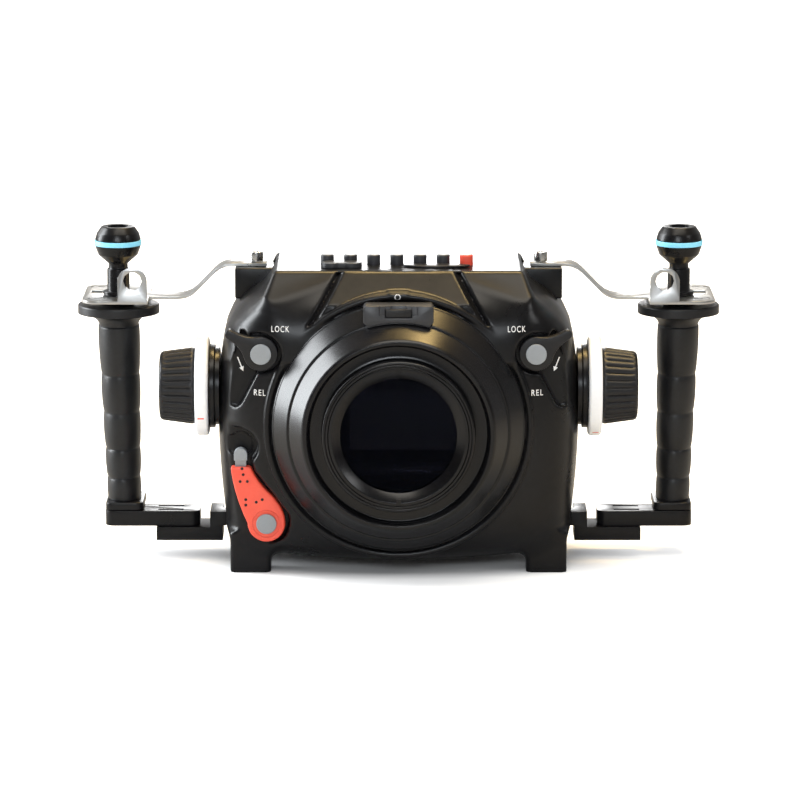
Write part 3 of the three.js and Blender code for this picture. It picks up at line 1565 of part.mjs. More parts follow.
place(housing, 'port_barrel', portBarrel(), blackAnodised);
place(housing, 'port_glass', portGlass(), clearGlass);
place(housing, 'port_retaining_ring', portRetainer(), blackAnodised);
place(housing, 'port_index_block', indexBlock(), blackPlastic);

place(housing, 'port_lock_lever', lockLever(), redPlastic);
place(housing, 'port_lock_cap', lockCap(), greyPlastic);
place(housing, 'port_lock_peg', lockPeg(), greyPlastic);

for (const [side, word] of [[-1, 'left'], [1, 'right']]) {
  place(housing, `${word}_latch_lever`, latchLever(side), blackPlastic);
  place(housing, `${word}_latch_cap`, latchCap(side), greyPlastic);
  place(housing, `${word}_pillar`, pillar(side), blackAnodised);
  place(housing, `${word}_bracket`, bracket(side), blackAnodised);
  place(housing, `${word}_arm`, arm(side), blackAnodised);
  place(housing, `${word}_grip_base`, gripBase(side), blackAnodised);
  place(housing, `${word}_grip`, grip(side), blackRubber);
  place(housing, `${word}_brace`, brace(side), stainless);
  place(housing, `${word}_brace_bolt`, braceBolt(side), stainless);
  place(housing, `${word}_ball_mount`, ballMount(side), blackAnodised);
  place(housing, `${word}_ball_band`, ballBand(side), blueRubber);
  place(housing, `${word}_gland`, gland(side), blackAnodised);
  place(housing, `${word}_knob_disc`, knobDisc(side), whitePlastic);
  place(housing, `${word}_knob`, knob(side), blackPlastic);
  place(housing, `${word}_drive_shaft`, driveShaft(side), stainless);
  place(housing, `${word}_idler_gear`, idlerGear(side), brass);
}

place(housing, 'rear_cover', rearCover(), blackAnodised);
place(housing, 'rear_window', rearWindow(), clearAcrylic);
rearButtonPlaces.forEach((spot, i) => {
  place(housing, `rear_button_${i + 1}`, rearButton(spot), darkButton);
});
place(housing, 'rear_dial', rearDial(), darkButton);

// The origin is under the middle of the whole object, on the surface it stands on.
const reach = new THREE.Box3().setFromObject(housing);
housing.position.y = -(reach.min.y + reach.max.y) / 2;

export default housing;
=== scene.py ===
import math
import bmesh
import bpy
import numpy as np
from mathutils import Matrix, Vector
from mathutils.bvhtree import BVHTree


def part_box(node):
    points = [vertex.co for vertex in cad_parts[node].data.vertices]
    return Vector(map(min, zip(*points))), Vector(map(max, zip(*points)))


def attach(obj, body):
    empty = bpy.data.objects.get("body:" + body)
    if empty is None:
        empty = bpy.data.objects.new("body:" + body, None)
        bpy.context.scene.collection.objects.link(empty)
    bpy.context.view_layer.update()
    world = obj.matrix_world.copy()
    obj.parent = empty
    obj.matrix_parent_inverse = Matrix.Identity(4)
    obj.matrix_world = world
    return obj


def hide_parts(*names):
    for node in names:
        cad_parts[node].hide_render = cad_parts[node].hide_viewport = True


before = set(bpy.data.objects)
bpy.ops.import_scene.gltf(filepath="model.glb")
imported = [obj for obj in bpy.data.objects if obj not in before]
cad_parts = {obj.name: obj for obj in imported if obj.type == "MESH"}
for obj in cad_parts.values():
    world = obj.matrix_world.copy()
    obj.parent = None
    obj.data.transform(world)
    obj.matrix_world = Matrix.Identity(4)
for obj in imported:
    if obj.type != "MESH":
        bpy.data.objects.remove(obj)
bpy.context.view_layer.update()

# Underwater camera housing. Lengths are in millimetres, in the frame of the CAD model, but with
# Y counted from the plane through the two mounting balls. The port faces -Y and +Z is up.
MM = 0.001
X_AXIS, Y_AXIS, Z_AXIS = 0, 1, 2
ball_low, ball_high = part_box("left_ball_mount")
BALL_PLANE_Y = (ball_low.y + ball_high.y) / 2

# Camera and stage
CAMERA_TARGET = (0.8, 0, 86.3)
CAMERA_DISTANCE = 2500
CAMERA_ELEVATION = math.radians(10.8)
SENSOR_WIDTH = 36
CAMERA_LENS = 203.6
CAMERA_CLIP = (0.1, 100)
FLOOR_SIZE = 16000
FLOOR_WHITE = 0.8
# The floor's white in reflections, half its lit white, is painted shade that darkens the floor where the
# housing's gloss shows it.
FLOOR_PAINTED_DIM_IN_GLOSS = 0.4
# The floor's glow for the camera carries a painted shadow round the housing: none close under it, the near
# glow past the first edge, and the far glow only far away, as painted shade fading out.
FLOOR_GLOW_NEAR = 0.4
FLOOR_GLOW_FAR = 0.7
PAINTED_SHADOW_EDGE = (1, 1.5)
PAINTED_SHADE_REACH = (9, 30)
WORLD_LIGHT = 0.6
GLOSS_FRONT = 0.04
GLOSS_BACK = 0.5
GLOSS_GRADED_Y = (-0.15, 0.65)

# Lamps: name, place and size in metres, power in watts, colour
LAMPS = [
    ("left_softbox", (-1.35, 0.3, 0.6), (0.5, 1.15), 34, (0.93, 0.97, 1)),
    ("front_softbox", (-0.15, -1.8, 0.72), (0.7, 0.3), 10, (0.9, 0.95, 1)),
    ("right_softbox", (1.2, -0.8, 0.9), (0.35, 0.4), 3, (1, 1, 1)),
    ("top_softbox", (0.1, -0.4, 1.5), (1.2, 0.5), 10, (1, 0.94, 0.84)),
    ("gold_softbox", (0.2, 0.42, 1.5), (0.9, 0.25), 22, (1, 0.7, 0.28)),
    ("left_rim", (-1.2, 0.85, 0.75), (0.5, 0.9), 6, (1, 1, 1)),
    ("deck_light", (0, 2.6, 0.67), (0.45, 0.6), 9, (1, 1, 1)),
]

# Body: the right half of its outline, as (X, Z) points of curves from the belly up
PORT_Z = 84
OUTLINE_CURVES = [
    [(0, 4.7), (33.75, 4.7), (67.5, 7.7)],
    [(67.5, 7.7), (92.3, 11.4), (94.2, 26)],
    [(94.2, 26), (98, 55), (98.3, 80)],
    [(98.3, 80), (98.3, 124), (92.5, 153), (70, 153)],
    [(70, 153), (35, 158.5), (0, 158.5)],
]
COLLAR_Y = -65
SIDE_START_Y = -24
FLANGE_Y = 20
BULGE_RADIUS = 62
BULGE_POWER = 2.4
CHEEK_GROWTH = 36
LIP_INNER = 69.3
LIP_OUTER = 72.6
LIP_RISE = 1.3
LIP_ROUND = 0.8
MARK_PAD_HALF = 5.6
MARK_PAD_RISE = 0.3
CAVITY_RADIUS = 60
CAVITY_Y = -46
CAVITY_START_Y = -18
CAVITY_WALL = 6
CAVITY_FLOOR_Z = 15
CAVITY_TOP_Z = 138
SEAT_RADIUS = 62.3
SEAT_Y = -58
BORE_RADIUS = 50.6

# Crown
CROWN_TOP_Z = 165.7
CROWN_WAIST_Z = 152
CROWN_SIDE_Z = (130, 140, 146, CROWN_WAIST_Z, CROWN_TOP_Z)
CROWN_SIDE_HALF = (90, 83, 77.5, 73.8, 67.3)
CROWN_ROOT_Z = 122
CROWN_Y = -45
CROWN_CORNER_Z = (128, 146, 153, CROWN_TOP_Z)
CROWN_CORNER = (34, 16, 4, 1.8)
WING_SLOPE = 1
CHEEK_X = 35
CHEEK_Y = -49.8
CHEEK_Z = 160.9
CHEEK_FALL = 0.341
CHEEK_SLOPE = 0.42
PLATE_SLOPE = 1.15
PLATE_TOP_HALF = 29.5
PLATE_FOOT_HALF = 45.5
PLATE_FOOT_Z = 139
PLATE_RISE = 0.8
CROWN_STEP = 1.2
GROOVE_HALF = 1.9
GROOVE_DEPTH = 2.4
GROOVE_TOP_Z = 164.9

# Widths over which the shell's forms run into each other
SHOULDER_FILLET = 11
FOOT_FILLET = 7
WING_FILLET = 4
CHEEK_EDGE = 1.2
TOP_EDGE = 1.4
PLATE_EDGE = 0.6
PLATE_FRONT_EDGE = 1
PLATE_FILLET = 0.8
GROOVE_EDGE = 0.7
LIP_FILLET = 1
MARK_PAD_FILLET = 0.6
SEAT_FILLET = 1
SEAT_FLOOR_EDGE = 0.6
WEDGE_FLOOR_EDGE = 0.8
LATCH_POCKET_EDGE = 1.2
HEAD_FILLET = 2
HEAD_FLOOR_EDGE = 0.8
LOCK_FLOOR_EDGE = 1.2
LOCK_POCKET_EDGE = 3
WEDGE_CORNER = 2.4

# Feet
FOOT_INNER_X = 69.6
FOOT_OUTER_X = 91.7
FOOT_ROOT_Z = 22
FOOT_LENGTH = 18
FRONT_FOOT_Y = -50
FOOT_ROUND = 1.6

# Port: profiles as (radius, distance in front of the collar)
BARREL_PROFILE = [
    (44, -18.5), (50, -18.5), (50, 0), (68.4, 0), (68.4, 1.5), (67.6, 2.6), (67.3, 2.6),
    (60.6, 13.2), (59.9, 14), (59.3, 14.1), (58.8, 14.1), (52.4, 25), (52, 25.5), (51, 26.5),
    (49.4, 26.5), (48.6, 25.7), (48.6, 24.2), (48.0, 23.6), (48.0, 20.6), (47.4, 20), (42.6, 20),
    (41, 20.4), (41, 28.2), (40.2, 29), (39.5, 29), (39.2, 28.5), (38.9, 29), (37.9, 29),
    (37.8, 28.9), (37.8, 19.5), (33, 19.5), (33, 15.5), (37.8, 11.5),
]
RETAINER_PROFILE = [(31, 24.1), (37.5, 24.1), (37.5, 29), (35.8, 29), (31, 25.3)]
NOTCH_HALF = 1.35
NOTCH_REACH = (32.8, 39.5)
NOTCH_FORWARD = (31, 27.8)
PORT_TURNS = 240

# Index block on the port
INDEX_ROOT_RADIUS = 59.5
INDEX_CHAMFER = 1.2
INDEX_PAD_HALF = 7.2
INDEX_PAD_DEPTH = 1.8
INDEX_PAD_FALL = 6.5
INDEX_STEP_WIDTH = 3
INDEX_STEP_DEPTH = 0.7
INDEX_STEP_FALL = 5
INDEX_NOTCH_HALF = 4.2
INDEX_NOTCH_DEPTH = 3.6
INDEX_NOTCH_FALL = 2.2
INDEX_OVERRUN = 1
INDEX_GAP = 0.2

# Latches and port lock
LATCH_X = 74
LATCH_Z = 123.7
LATCH_HUB_RADIUS = 9.3
LATCH_POCKET_RADIUS = 11.2
LATCH_FLOOR_Y = -58
LATCH_THICKNESS = 6.6
ARM_REACH = 22.3
ARM_HALF = 2.5
ARM_WAIST = 11.5
ARM_ANGLE = math.radians(148)
ARM_ROOT_ANGLE = math.radians(44.8)
SHAFT_RADIUS = 4
CLAW_RADIUS = 6.5
CLAW_Y = 12.5
CLAW_THICKNESS = 3.5
SHAFT_ROOT = 2
SEAT_GAP = 0.3
WEDGE_ROOM = 0.55
SEAT_RIM = 0.4
WEDGE_FLOOR_Y = -52
WEDGE = [
    (84, 135.7), (91.2, 110.5), (91.5, 96.8), (89.1, 93), (85.5, 95.1), (76.7, 112.3), (74, 123.7),
]
LOCK_X = -71.6
LOCK_Z = 29.5
LOCK_END_RADIUS = 10.2
LOCK_TOP_Z = 60.7
LOCK_THICKNESS = 7
LOCK_TOP_X = (-90.8, -79.9)
LOCK_WAIST = (-69.1, 45.7)
LOCK_LEFT_PULL = (-89.3, 45.7)
LOCK_RIGHT_PULL_Z = 37.5
LOCK_TOP_PULL = (-76.5, 52.3)
LOCK_SHAFT_LENGTH = 21
LOCK_CAM_THICKNESS = 3
PEG_SLOT_X = (-88.7, -82.1)
PEG_SLOT_Z = (48.4, 63)
PEG_SLOT_DEPTH = (5.1, 1.9)
BOSS_RADIUS = 7.2
BOSS_LINE_WIDTH = 0.6
BOSS_LINE_TAPER = 0.2
BOSS_LINE_DEPTH = 0.5
LOCK_POCKET_RADIUS = 12.2
LOCK_FLOOR_Y = -52.5
POCKET_HEAD = (-85.4, 72)
POCKET_HEAD_RADIUS = 9.4
HEAD_STEP = 2.6
LOCK_POCKET = [
    (-100.3, 81.4), (-85.4, 81.4), (-77.9, 58.7), (-67.1, 45.7), (-59.4, 35), (-59.4, 29.5),
    (-71.6, 17.3), (-100.3, 4.3),
]

# Grips: the column's middle and half widths at foot and top, and the creases between the fingers
GRIP_X = 154
GRIP_FOOT_Z = 30.6
GRIP_TOP_Z = 128.6
GRIP_MIDDLE_X = (152.2, GRIP_X)
GRIP_MIDDLE_Y = (6, 0)
GRIP_HALF_X = (8.4, 10.8)
GRIP_HALF_Y = (12.4, 14.6)
GRIP_CREASES = (43, 59.6, 80.2, 101.5)
GRIP_BULGE = 1.5
GRIP_SWELL_POWER = 0.4
GRIP_FOOT_RUN = 4
GRIP_TOP_RUN = 2
GRIP_SIDE_BULGE_SHARE = 0.55
GRIP_BACK_BULGE_SHARE = 0.3
GRIP_LEVELS = 150
GRIP_DISC_RADIUS = 22.4
GRIP_DISC_Z = 135.6
GRIP_DISC_THICKNESS = 5
GRIP_DISC_CORNER = 1.1
SPIGOT_RADIUS = 9
SPIGOT_TOP_Z = 143.3
SPIGOT_BORE_RADIUS = 3.3
SPIGOT_BORE_Z = 127.3

# Knobs
KNOB_Y = -20
KNOB_Z = 98.2
KNOB_BASE_X = 111.1
KNOB_TIP_X = 130.6
KNOB_BASE_RADIUS = 21.3
KNOB_TIP_RADIUS = 18.7
KNOB_BORE = 0.2
KNOB_CORNER = 2.6
KNOB_RIBS = 30
RIB_DEPTH = 0.9
RIB_POWER = 0.6
RIB_BASE_GAP = 0.8
RIB_BASE_RUN = 2.4
RIB_TIP_GAP = 1
RIB_TIP_RUN = 3
DISC_RADIUS = 27.2
DISC_MARK_X = 107.5
DISC_MARK_HALF_LENGTH = 1.7
DISC_MARK_HALF_WIDTH = 0.45
DISC_MARK_ANGLES = (31, 60)

# Slot and hole in each rail of a brace's plate: hole X, rail Y, slot's ends X, half width
BRACE_CUTS = [(169.8, -11, 160.6, 165.8, 1), (170.4, 28, 163.6, 166.5, 0.8)]
BRACE_LOW_Z = 142
BRACE_HIGH_Z = 147
BRACE_HOLE_RADIUS = 1.2

# Mounting balls: the hollow in the flat top and the screw's socket in it
HOLLOW_RADIUS = 5.6
HOLLOW_DEPTH = 1.4
SOCKET_RADIUS = 2.9
SOCKET_DEPTH = 5

# Printed marks
PRINT_PROUD = 0.05
PRINT_DEPTH = 0.2
LETTER_SPACING = 1.25
LOCK_WORD = (-63.4, 137.5, 9.5, 3.2)
FREE_WORD = (-74.7, 102.4, 6.3, 3.2)
ARROW = [(-86.9, 119.9), (-83.9, 112.1)]
ARROW_LINE_HALF = 0.3
ARROW_HEAD_HALF = 1.3
ARROW_HEAD_LENGTH = 2.6
INDEX_RING = (-0.5, 154.9)
INDEX_RING_INNER = 1.2
INDEX_RING_OUTER = 1.65
DOT_RADIUS = 0.8
STUD_SIDES = 20
LEVER_DOTS = [
    (-84.6, 59.9), (-84, 56.6), (-85.7, 52.8), (-81.8, 52.8), (-82.7, 42.8), (-82.7, 39.8),
    (-77, 41.4), (-73.8, 42.8),
]

# Wells, bores and notches in the shell
BUTTON_Y = -23.4
WELL_RADIUS = 3.9
WELL_DEPTH = 5.7
STEM_BORE_RADIUS = 1.9
LEVER_PIVOT = (-36.2, -33.2)
LEVER_BORE_RADIUS = 2.5
LEVER_FLOOR_Z = 159.4
GLAND_RADIUS = 8
GLAND_BORE_X = (84, 104)
PILLAR_X = (67.4, 99)
PILLAR_HALF_Y = 11.3
PILLAR_FOOT_Z = 144.5
SEAL_OUTER = -1.6
SEAL_INNER = -4.4
SEAL_GROOVE_Y = 17.7
CUT_OVERRUN = 4

# Pins of the idler gears
IDLER_Y = 1.3
PIN_RADIUS = 2.4
PIN_TIP_X = 72
PIN_BOSS_RADIUS = 5
PIN_BOSS_X = 80.3
PIN_ROOT_X = 95.3

# Finishes: colour, worn colour, roughness and its spread, scale of the patches and of the grain,
# depth of the grain in mm and its strength, and what else a finish has
FINISHES = {
    "black_anodised": (
        (0.004, 0.004, 0.0045), (0.007, 0.007, 0.008), 0.3, 0.07, 25, 2600, 0.006, 0.25,
        {"specular": 0.28},
    ),
    "black_turned": (
        (0.003, 0.003, 0.0035), (0.005, 0.005, 0.006), 0.24, 0.04, 25, 900, 0.004, 0.12,
        {"specular": 0.34, "turned_axis": "Y"},
    ),
    "black_plastic": (
        (0.006, 0.006, 0.007), (0.01, 0.01, 0.012), 0.4, 0.1, 40, 1800, 0.02, 0.3,
        {"specular": 0.4},
    ),
    "grip_rubber": (
        (0.006, 0.006, 0.007), (0.011, 0.012, 0.014), 0.42, 0.1, 50, 1500, 0.05, 0.35,
        {"specular": 0.4},
    ),
    "grey_plastic": ((0.22, 0.24, 0.26), (0.25, 0.27, 0.29), 0.42, 0.06, 60, 2000, 0.01, 0.2, {}),
    "red_plastic": ((0.72, 0.07, 0.04), (0.78, 0.09, 0.05), 0.36, 0.06, 60, 2000, 0.012, 0.2, {}),
    "white_plastic": ((0.78, 0.8, 0.83), (0.72, 0.74, 0.77), 0.35, 0.06, 40, 1800, 0.01, 0.2, {}),
    "brushed_steel": (
        (0.56, 0.56, 0.55), (0.5, 0.5, 0.49), 0.32, 0.1, 40, 2500, 0.01, 0.25,
        {"stretch": (0.1, 1, 1), "metallic": 1},
    ),
    "turned_steel": (
        (0.55, 0.55, 0.54), (0.48, 0.48, 0.47), 0.26, 0.08, 60, 2500, 0.006, 0.2,
        {"metallic": 1},
    ),
    "band_rubber": ((0.2, 0.6, 0.83), (0.23, 0.64, 0.86), 0.45, 0.06, 60, 2000, 0.01, 0.2, {}),
    "seal_rubber": ((0.02, 0.02, 0.02), (0.03, 0.03, 0.03), 0.5, 0.1, 60, 2000, 0.01, 0.2, {}),
    "button_plastic": (
        (0.022, 0.023, 0.026), (0.03, 0.031, 0.035), 0.4, 0.08, 60, 2000, 0.01, 0.2, {},
    ),
    "brass": (
        (0.62, 0.42, 0.16), (0.5, 0.33, 0.12), 0.3, 0.1, 60, 2000, 0.01, 0.2, {"metallic": 1},
    ),
    "white_print": ((0.8, 0.8, 0.8), (0.7, 0.7, 0.7), 0.5, 0.05, 60, 2000, 0.004, 0.1, {}),
}

# Clear finishes: colour, tint of the gloss, roughness, index of refraction
CLEAR_FINISHES = {
    # The port glass is tinted nearly black as painted shade, standing for the dark inside of the housing
    # seen through it.
    "port_glass": ((0.004, 0.004, 0.007), (0.5, 0.6, 1), 0.02, 1.14),
    "window_acrylic": ((0.75, 0.78, 0.78), (1, 1, 1), 0.03, 1.49),
}

# Width of the broken edge of each piece, by its name without its side or number
EDGES = {
    "arm": 0.9, "ball_band": 0.3, "ball_mount": 0.4, "brace": 0.4, "brace_bolt": 0.5, "bracket": 0.8,
    "camera_tray": 0.8, "deck_plaque": 0.4, "drive_shaft": 0.1, "gland": 0.5, "grip_base": 0.8,
    "idler_gear": 0.1, "index_block": 0.35, "index_pad": 0.4, "knob_disc": 0.9, "latch_cap": 0.45,
    "latch_lever": 0.8, "main_o_ring": 0.5, "pillar": 1.4, "port_barrel": 0.35, "port_glass": 0.3,
    "port_lock_cap": 0.5, "port_lock_lever": 1.3, "port_lock_peg": 0.9, "port_mount_ring": 0.4,
    "port_retaining_ring": 0.3, "rear_button": 0.6, "rear_cover": 1, "rear_dial": 0.4,
    "rear_window": 0.4, "top_button": 0.5, "top_lever": 0.7, "tray_screw": 0.3,
}

# Shares and scales of the shared surface effects
BROAD_SHARE = 0.7
FINE_PATCH_SCALE = 12
PATCH_EDGES = (0.35, 0.65)
COARSE_GRAIN_SCALE = 0.3
COARSE_GRAIN_SHARE = 0.6
TURNED_ANISOTROPY = 0.5

# Reading of the turned CAD pieces
STRAIGHT_ENOUGH = math.radians(165)
ON_AXIS = 1e-5
SAME_ANGLE = 0.004
JOIN_DISTANCE = 1e-6
CLOSE_POINTS = 1e-7
CORNER_SHARE = 0.45
SHORTEST_CORNER = 0.01

# Grid on which the shell's surface is found, and limits that keep its sums steady
NET_STEP = 0.92
NET_LONG_STEP = 3
NET_HALF_WIDTH = 101
NET_MARGIN = 2
NET_FLOOR_Z = -0.4
NET_REAR = (14, 10, 6, 2, 0.4, -0.4)
LEAST_SIZE = 0.05
LEAST_STEEPNESS = 0.2
LEAST_SLOPE = 0.05
SMALLEST = 1e-9


def place(points):
    """Points in millimetres from the balls' plane, as the frame's metres."""
    moved = np.array(points, float).reshape(-1, 3)
    moved[:, 1] += BALL_PLANE_Y / MM
    return moved * MM


def placed(name, data):
    """A new object that stands in the scene."""
    obj = bpy.data.objects.new(name, data)
    bpy.context.scene.collection.objects.link(obj)
    return obj


def new_object(name, points, faces, checked=True):
    """A mesh object through points in millimetres."""
    mesh = bpy.data.meshes.new(name)
    mesh.from_pydata(place(points).tolist(), [], faces)
    if checked:
        mesh.validate()
    return placed(name, mesh)


def smooth(obj, angle=35):
    """Smooth shading with edges sharper than the angle kept sharp."""
    obj.data.shade_smooth()
    obj.data.set_sharp_from_angle(angle=math.radians(angle))
    return obj


def baked(obj):
    """The object with its modifiers made part of its mesh."""
    bpy.context.view_layer.update()
    evaluated = obj.evaluated_get(bpy.context.evaluated_depsgraph_get())
    mesh = bpy.data.meshes.new_from_object(evaluated)
    obj.modifiers.clear()
    obj.data = mesh
    return obj


def boolean(obj, operation, *tools):
    """Cuts obj by the tools, or joins them to it, and deletes them."""
    for tool in tools:
        modifier = obj.modifiers.new("cut", "BOOLEAN")
        modifier.operation = operation
        modifier.solver = "MANIFOLD"
        modifier.object = tool
        tool.hide_render = True
    baked(obj)
    for tool in tools:
        bpy.data.objects.remove(tool)
    return obj


def finish_piece(obj, body, slot, material, *nodes):
    """Gives a piece its body, its finish and the CAD nodes that it stands for."""
    obj.data.materials.clear()
    obj.data.materials.append(material)
    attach(obj, body)
    if nodes:
        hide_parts(*nodes)
    return obj


def rounded(points, corner, steps=3, closed=False):
    """A profile with its corners turned into small curves."""
    path = [Vector(p) for p in points]
    made = []
    for i, here in enumerate(path):
        if not closed and i in (0, len(path) - 1):
            made.append(here)
            continue
        back, on = path[i - 1] - here, path[(i + 1) % len(path)] - here
        reach = min(corner, back.length * CORNER_SHARE, on.length * CORNER_SHARE)
        if reach < SHORTEST_CORNER or back.angle(on) > STRAIGHT_ENOUGH:
            made.append(here)
            continue
        start, end = here + back.normalized() * reach, here + on.normalized() * reach
        for step in range(steps + 1):
            share = step / steps
            made.append(start.lerp(here, share).lerp(here.lerp(end, share), share))
    return [tuple(p) for p in made]


def spun(name, profile, axis, centre, turns=96, closed=False):
    """A turned solid: the profile's points are (radius, place along the axis)."""
    if not closed:
        profile = [(0, profile[0][1]), *profile, (0, profile[-1][1])]
    angles = np.arange(turns) * 2 * math.pi / turns
    others = [a for a in range(3) if a != axis]
    points = np.zeros((len(profile), turns, 3))
    for row, (radius, along) in enumerate(profile):
        points[row, :, axis] = along
        points[row, :, others[0]] = centre[0] + np.cos(angles) * radius
        points[row, :, others[1]] = centre[1] + np.sin(angles) * radius
    rows = len(profile) if closed else len(profile) - 1
    faces = []
    for row in range(rows):
        after = (row + 1) % len(profile)
        for i in range(turns):
            on = (i + 1) % turns
            corners = (row * turns + i, row * turns + on, after * turns + on, after * turns + i)
            faces.append(corners)
    return outward(new_object(name, points, faces, checked=False))


def cad_mesh(node):
    """A copy of a CAD node's mesh with its loose triangles joined."""
    bm = bmesh.new()
    bm.from_mesh(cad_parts[node].data)
    bmesh.ops.remove_doubles(bm, verts=bm.verts, dist=JOIN_DISTANCE)
    return bm


def cad_profile(node, axis):
    """The profile of a turned CAD node, read along one of its facets, and whether it is closed."""
    bm = cad_mesh(node)
    low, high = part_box(node)
    others = [a for a in range(3) if a != axis]
    centre = [(low[a] + high[a]) / 2 for a in others]
    bm.verts.ensure_lookup_table()
    flat = np.array([[v.co[a] - c for a, c in zip(others, centre)] for v in bm.verts])
    radius = np.hypot(flat[:, 0], flat[:, 1])
    angle = np.round(np.arctan2(flat[:, 1], flat[:, 0]), 3)
    seen, counts = np.unique(angle[radius > ON_AXIS], return_counts=True)
    chosen = seen[np.argmax(counts)]
    inside = (radius < ON_AXIS) | (np.abs(angle - chosen) < SAME_ANGLE)
    linked = {i: [] for i in np.flatnonzero(inside)}
    for edge in bm.edges:
        a, b = (v.index for v in edge.verts)
        if inside[a] and inside[b]:
            linked[a].append(b)
            linked[b].append(a)
    ends = [i for i, others_on in linked.items() if len(others_on) == 1]
    path = [ends[0] if ends else next(i for i in linked if linked[i])]
    while True:
        onward = [i for i in linked[path[-1]] if i not in path]
        if not onward:
            break
        path.append(onward[0])
    along = [bm.verts[i].co[axis] / MM for i in path]
    if axis == 1:
        along = [y - BALL_PLANE_Y / MM for y in along]
    profile = [(radius[i] / MM, y) for i, y in zip(path, along)]
    middle = [c / MM for c in centre]
    if axis != 1:
        middle[others.index(1)] -= BALL_PLANE_Y / MM
    bm.free()
    return profile, middle, not ends


def edge_width(name):
    """The broken edge of a piece, found by its name without its side or number."""
    return EDGES[name.removeprefix("left_").removeprefix("right_").rstrip("_0123456789")]


def respun(node, axis, turns=96):
    """A turned CAD node made again with a rounder shape and broken corners."""
    profile, centre, closed = cad_profile(node, axis)
    path = rounded(profile, edge_width(node), 3, closed)
    return smooth(spun(node + "_turned", path, axis, centre, turns, closed), 40)


def softened(node, segments=3):
    """A CAD node with its flat faces joined and its edges broken."""
    bm = cad_mesh(node)
    bmesh.ops.dissolve_limit(bm, angle_limit=math.radians(1), verts=bm.verts, edges=bm.edges)
    mesh = bpy.data.meshes.new(node)
    bm.to_mesh(mesh)
    bm.free()
    return edged(placed(node + "_finished", mesh), edge_width(node), segments)


def edged(obj, width, segments=3):
    """Rounds the sharp edges of an object."""
    bevel = obj.modifiers.new("edges", "BEVEL")
    bevel.width = width * MM
    bevel.segments = segments
    bevel.limit_method = "ANGLE"
    bevel.angle_limit = math.radians(32)
    baked(obj)
    return smooth(obj, 40)


def dressed(name, body, slot, material, segments=3):
    """A CAD node with its edges broken, as a finished piece."""
    return finish_piece(softened(name, segments), body, slot, material, name)


def dressed_round(name, body, slot, material, axis, turns=96):
    """A turned CAD node made rounder, as a finished piece."""
    return finish_piece(respun(name, axis, turns), body, slot, material, name)


def plate(name, outline, axis, low, high):
    """A plate through a flat outline. Along Y it is drawn in X and Z, along Z in X and Y."""
    points = []
    for level in (low, high):
        for a, b in outline:
            points.append((a, level, b) if axis == 1 else (a, b, level))
    count = len(outline)
    faces = [tuple(range(count)), tuple(range(count, 2 * count))]
    faces += [(i, (i + 1) % count, count + (i + 1) % count, count + i) for i in range(count)]
    return outward(new_object(name, points, faces))


def arc(centre, radius, start, end, steps=24):
    """Points on an arc, angles in degrees."""
    angles = np.radians(np.linspace(start, end, steps + 1))
    return [(centre[0] + radius * math.cos(a), centre[1] + radius * math.sin(a)) for a in angles]


def bend(start, pull, end, steps=16):
    """Points on a quadratic curve."""
    shares = np.linspace(0, 1, steps + 1)[:, None]
    a, b, c = np.array(start), np.array(pull), np.array(end)
    return [tuple(p) for p in a * (1 - shares) ** 2 + 2 * b * shares * (1 - shares) + c * shares**2]


def material_tree(name):
    """A new material, its node tree and its shader."""
    material = bpy.data.materials.new(name)
    material.use_nodes = True
    tree = material.node_tree
    return material, tree, tree.nodes["Principled BSDF"]


def feed(tree, node, inputs):
    """Gives each input its value, or a link where a socket is given."""
    for key, value in inputs.items():
        if isinstance(value, bpy.types.NodeSocket):
            tree.links.new(value, node.inputs[key])
        else:
            node.inputs[key].default_value = value
    return node


def add_node(tree, kind, inputs, **settings):
    """A new node with its settings and inputs."""
    node = tree.nodes.new(kind)
    for key, value in settings.items():
        setattr(node, key, value)
    return feed(tree, node, inputs)


def effect_group(name, inputs, outputs):
    """An empty node group with named inputs (kind and value) and outputs."""
    tree = bpy.data.node_groups.new(name, "ShaderNodeTree")
    for label, (kind, value) in inputs.items():
        socket = tree.interface.new_socket(label, in_out="INPUT", socket_type="NodeSocket" + kind)
        socket.default_value = value
    for label, kind in outputs.items():
        tree.interface.new_socket(label, in_out="OUTPUT", socket_type="NodeSocket" + kind)
    return tree, tree.nodes.new("NodeGroupInput"), tree.nodes.new("NodeGroupOutput")


def noise_node(tree, source, scale, detail):
    inputs = {"Vector": source, "Scale": scale, "Detail": detail}
    return add_node(tree, "ShaderNodeTexNoise", inputs).outputs["Fac"]


def math_node(tree, operation, first, second):
    return add_node(tree, "ShaderNodeMath", {0: first, 1: second}, operation=operation).outputs[0]


def vector_node(tree, operation, inputs):
    return add_node(tree, "ShaderNodeVectorMath", inputs, operation=operation)


def range_node(tree, source, given, wanted, **settings):
    """Maps a value from one range to another and holds it there."""
    inputs = {"From Min": given[0], "From Max": given[1], "To Min": wanted[0], "To Max": wanted[1]}
    inputs["Value"] = source
    return add_node(tree, "ShaderNodeMapRange", inputs, **settings).outputs["Result"]


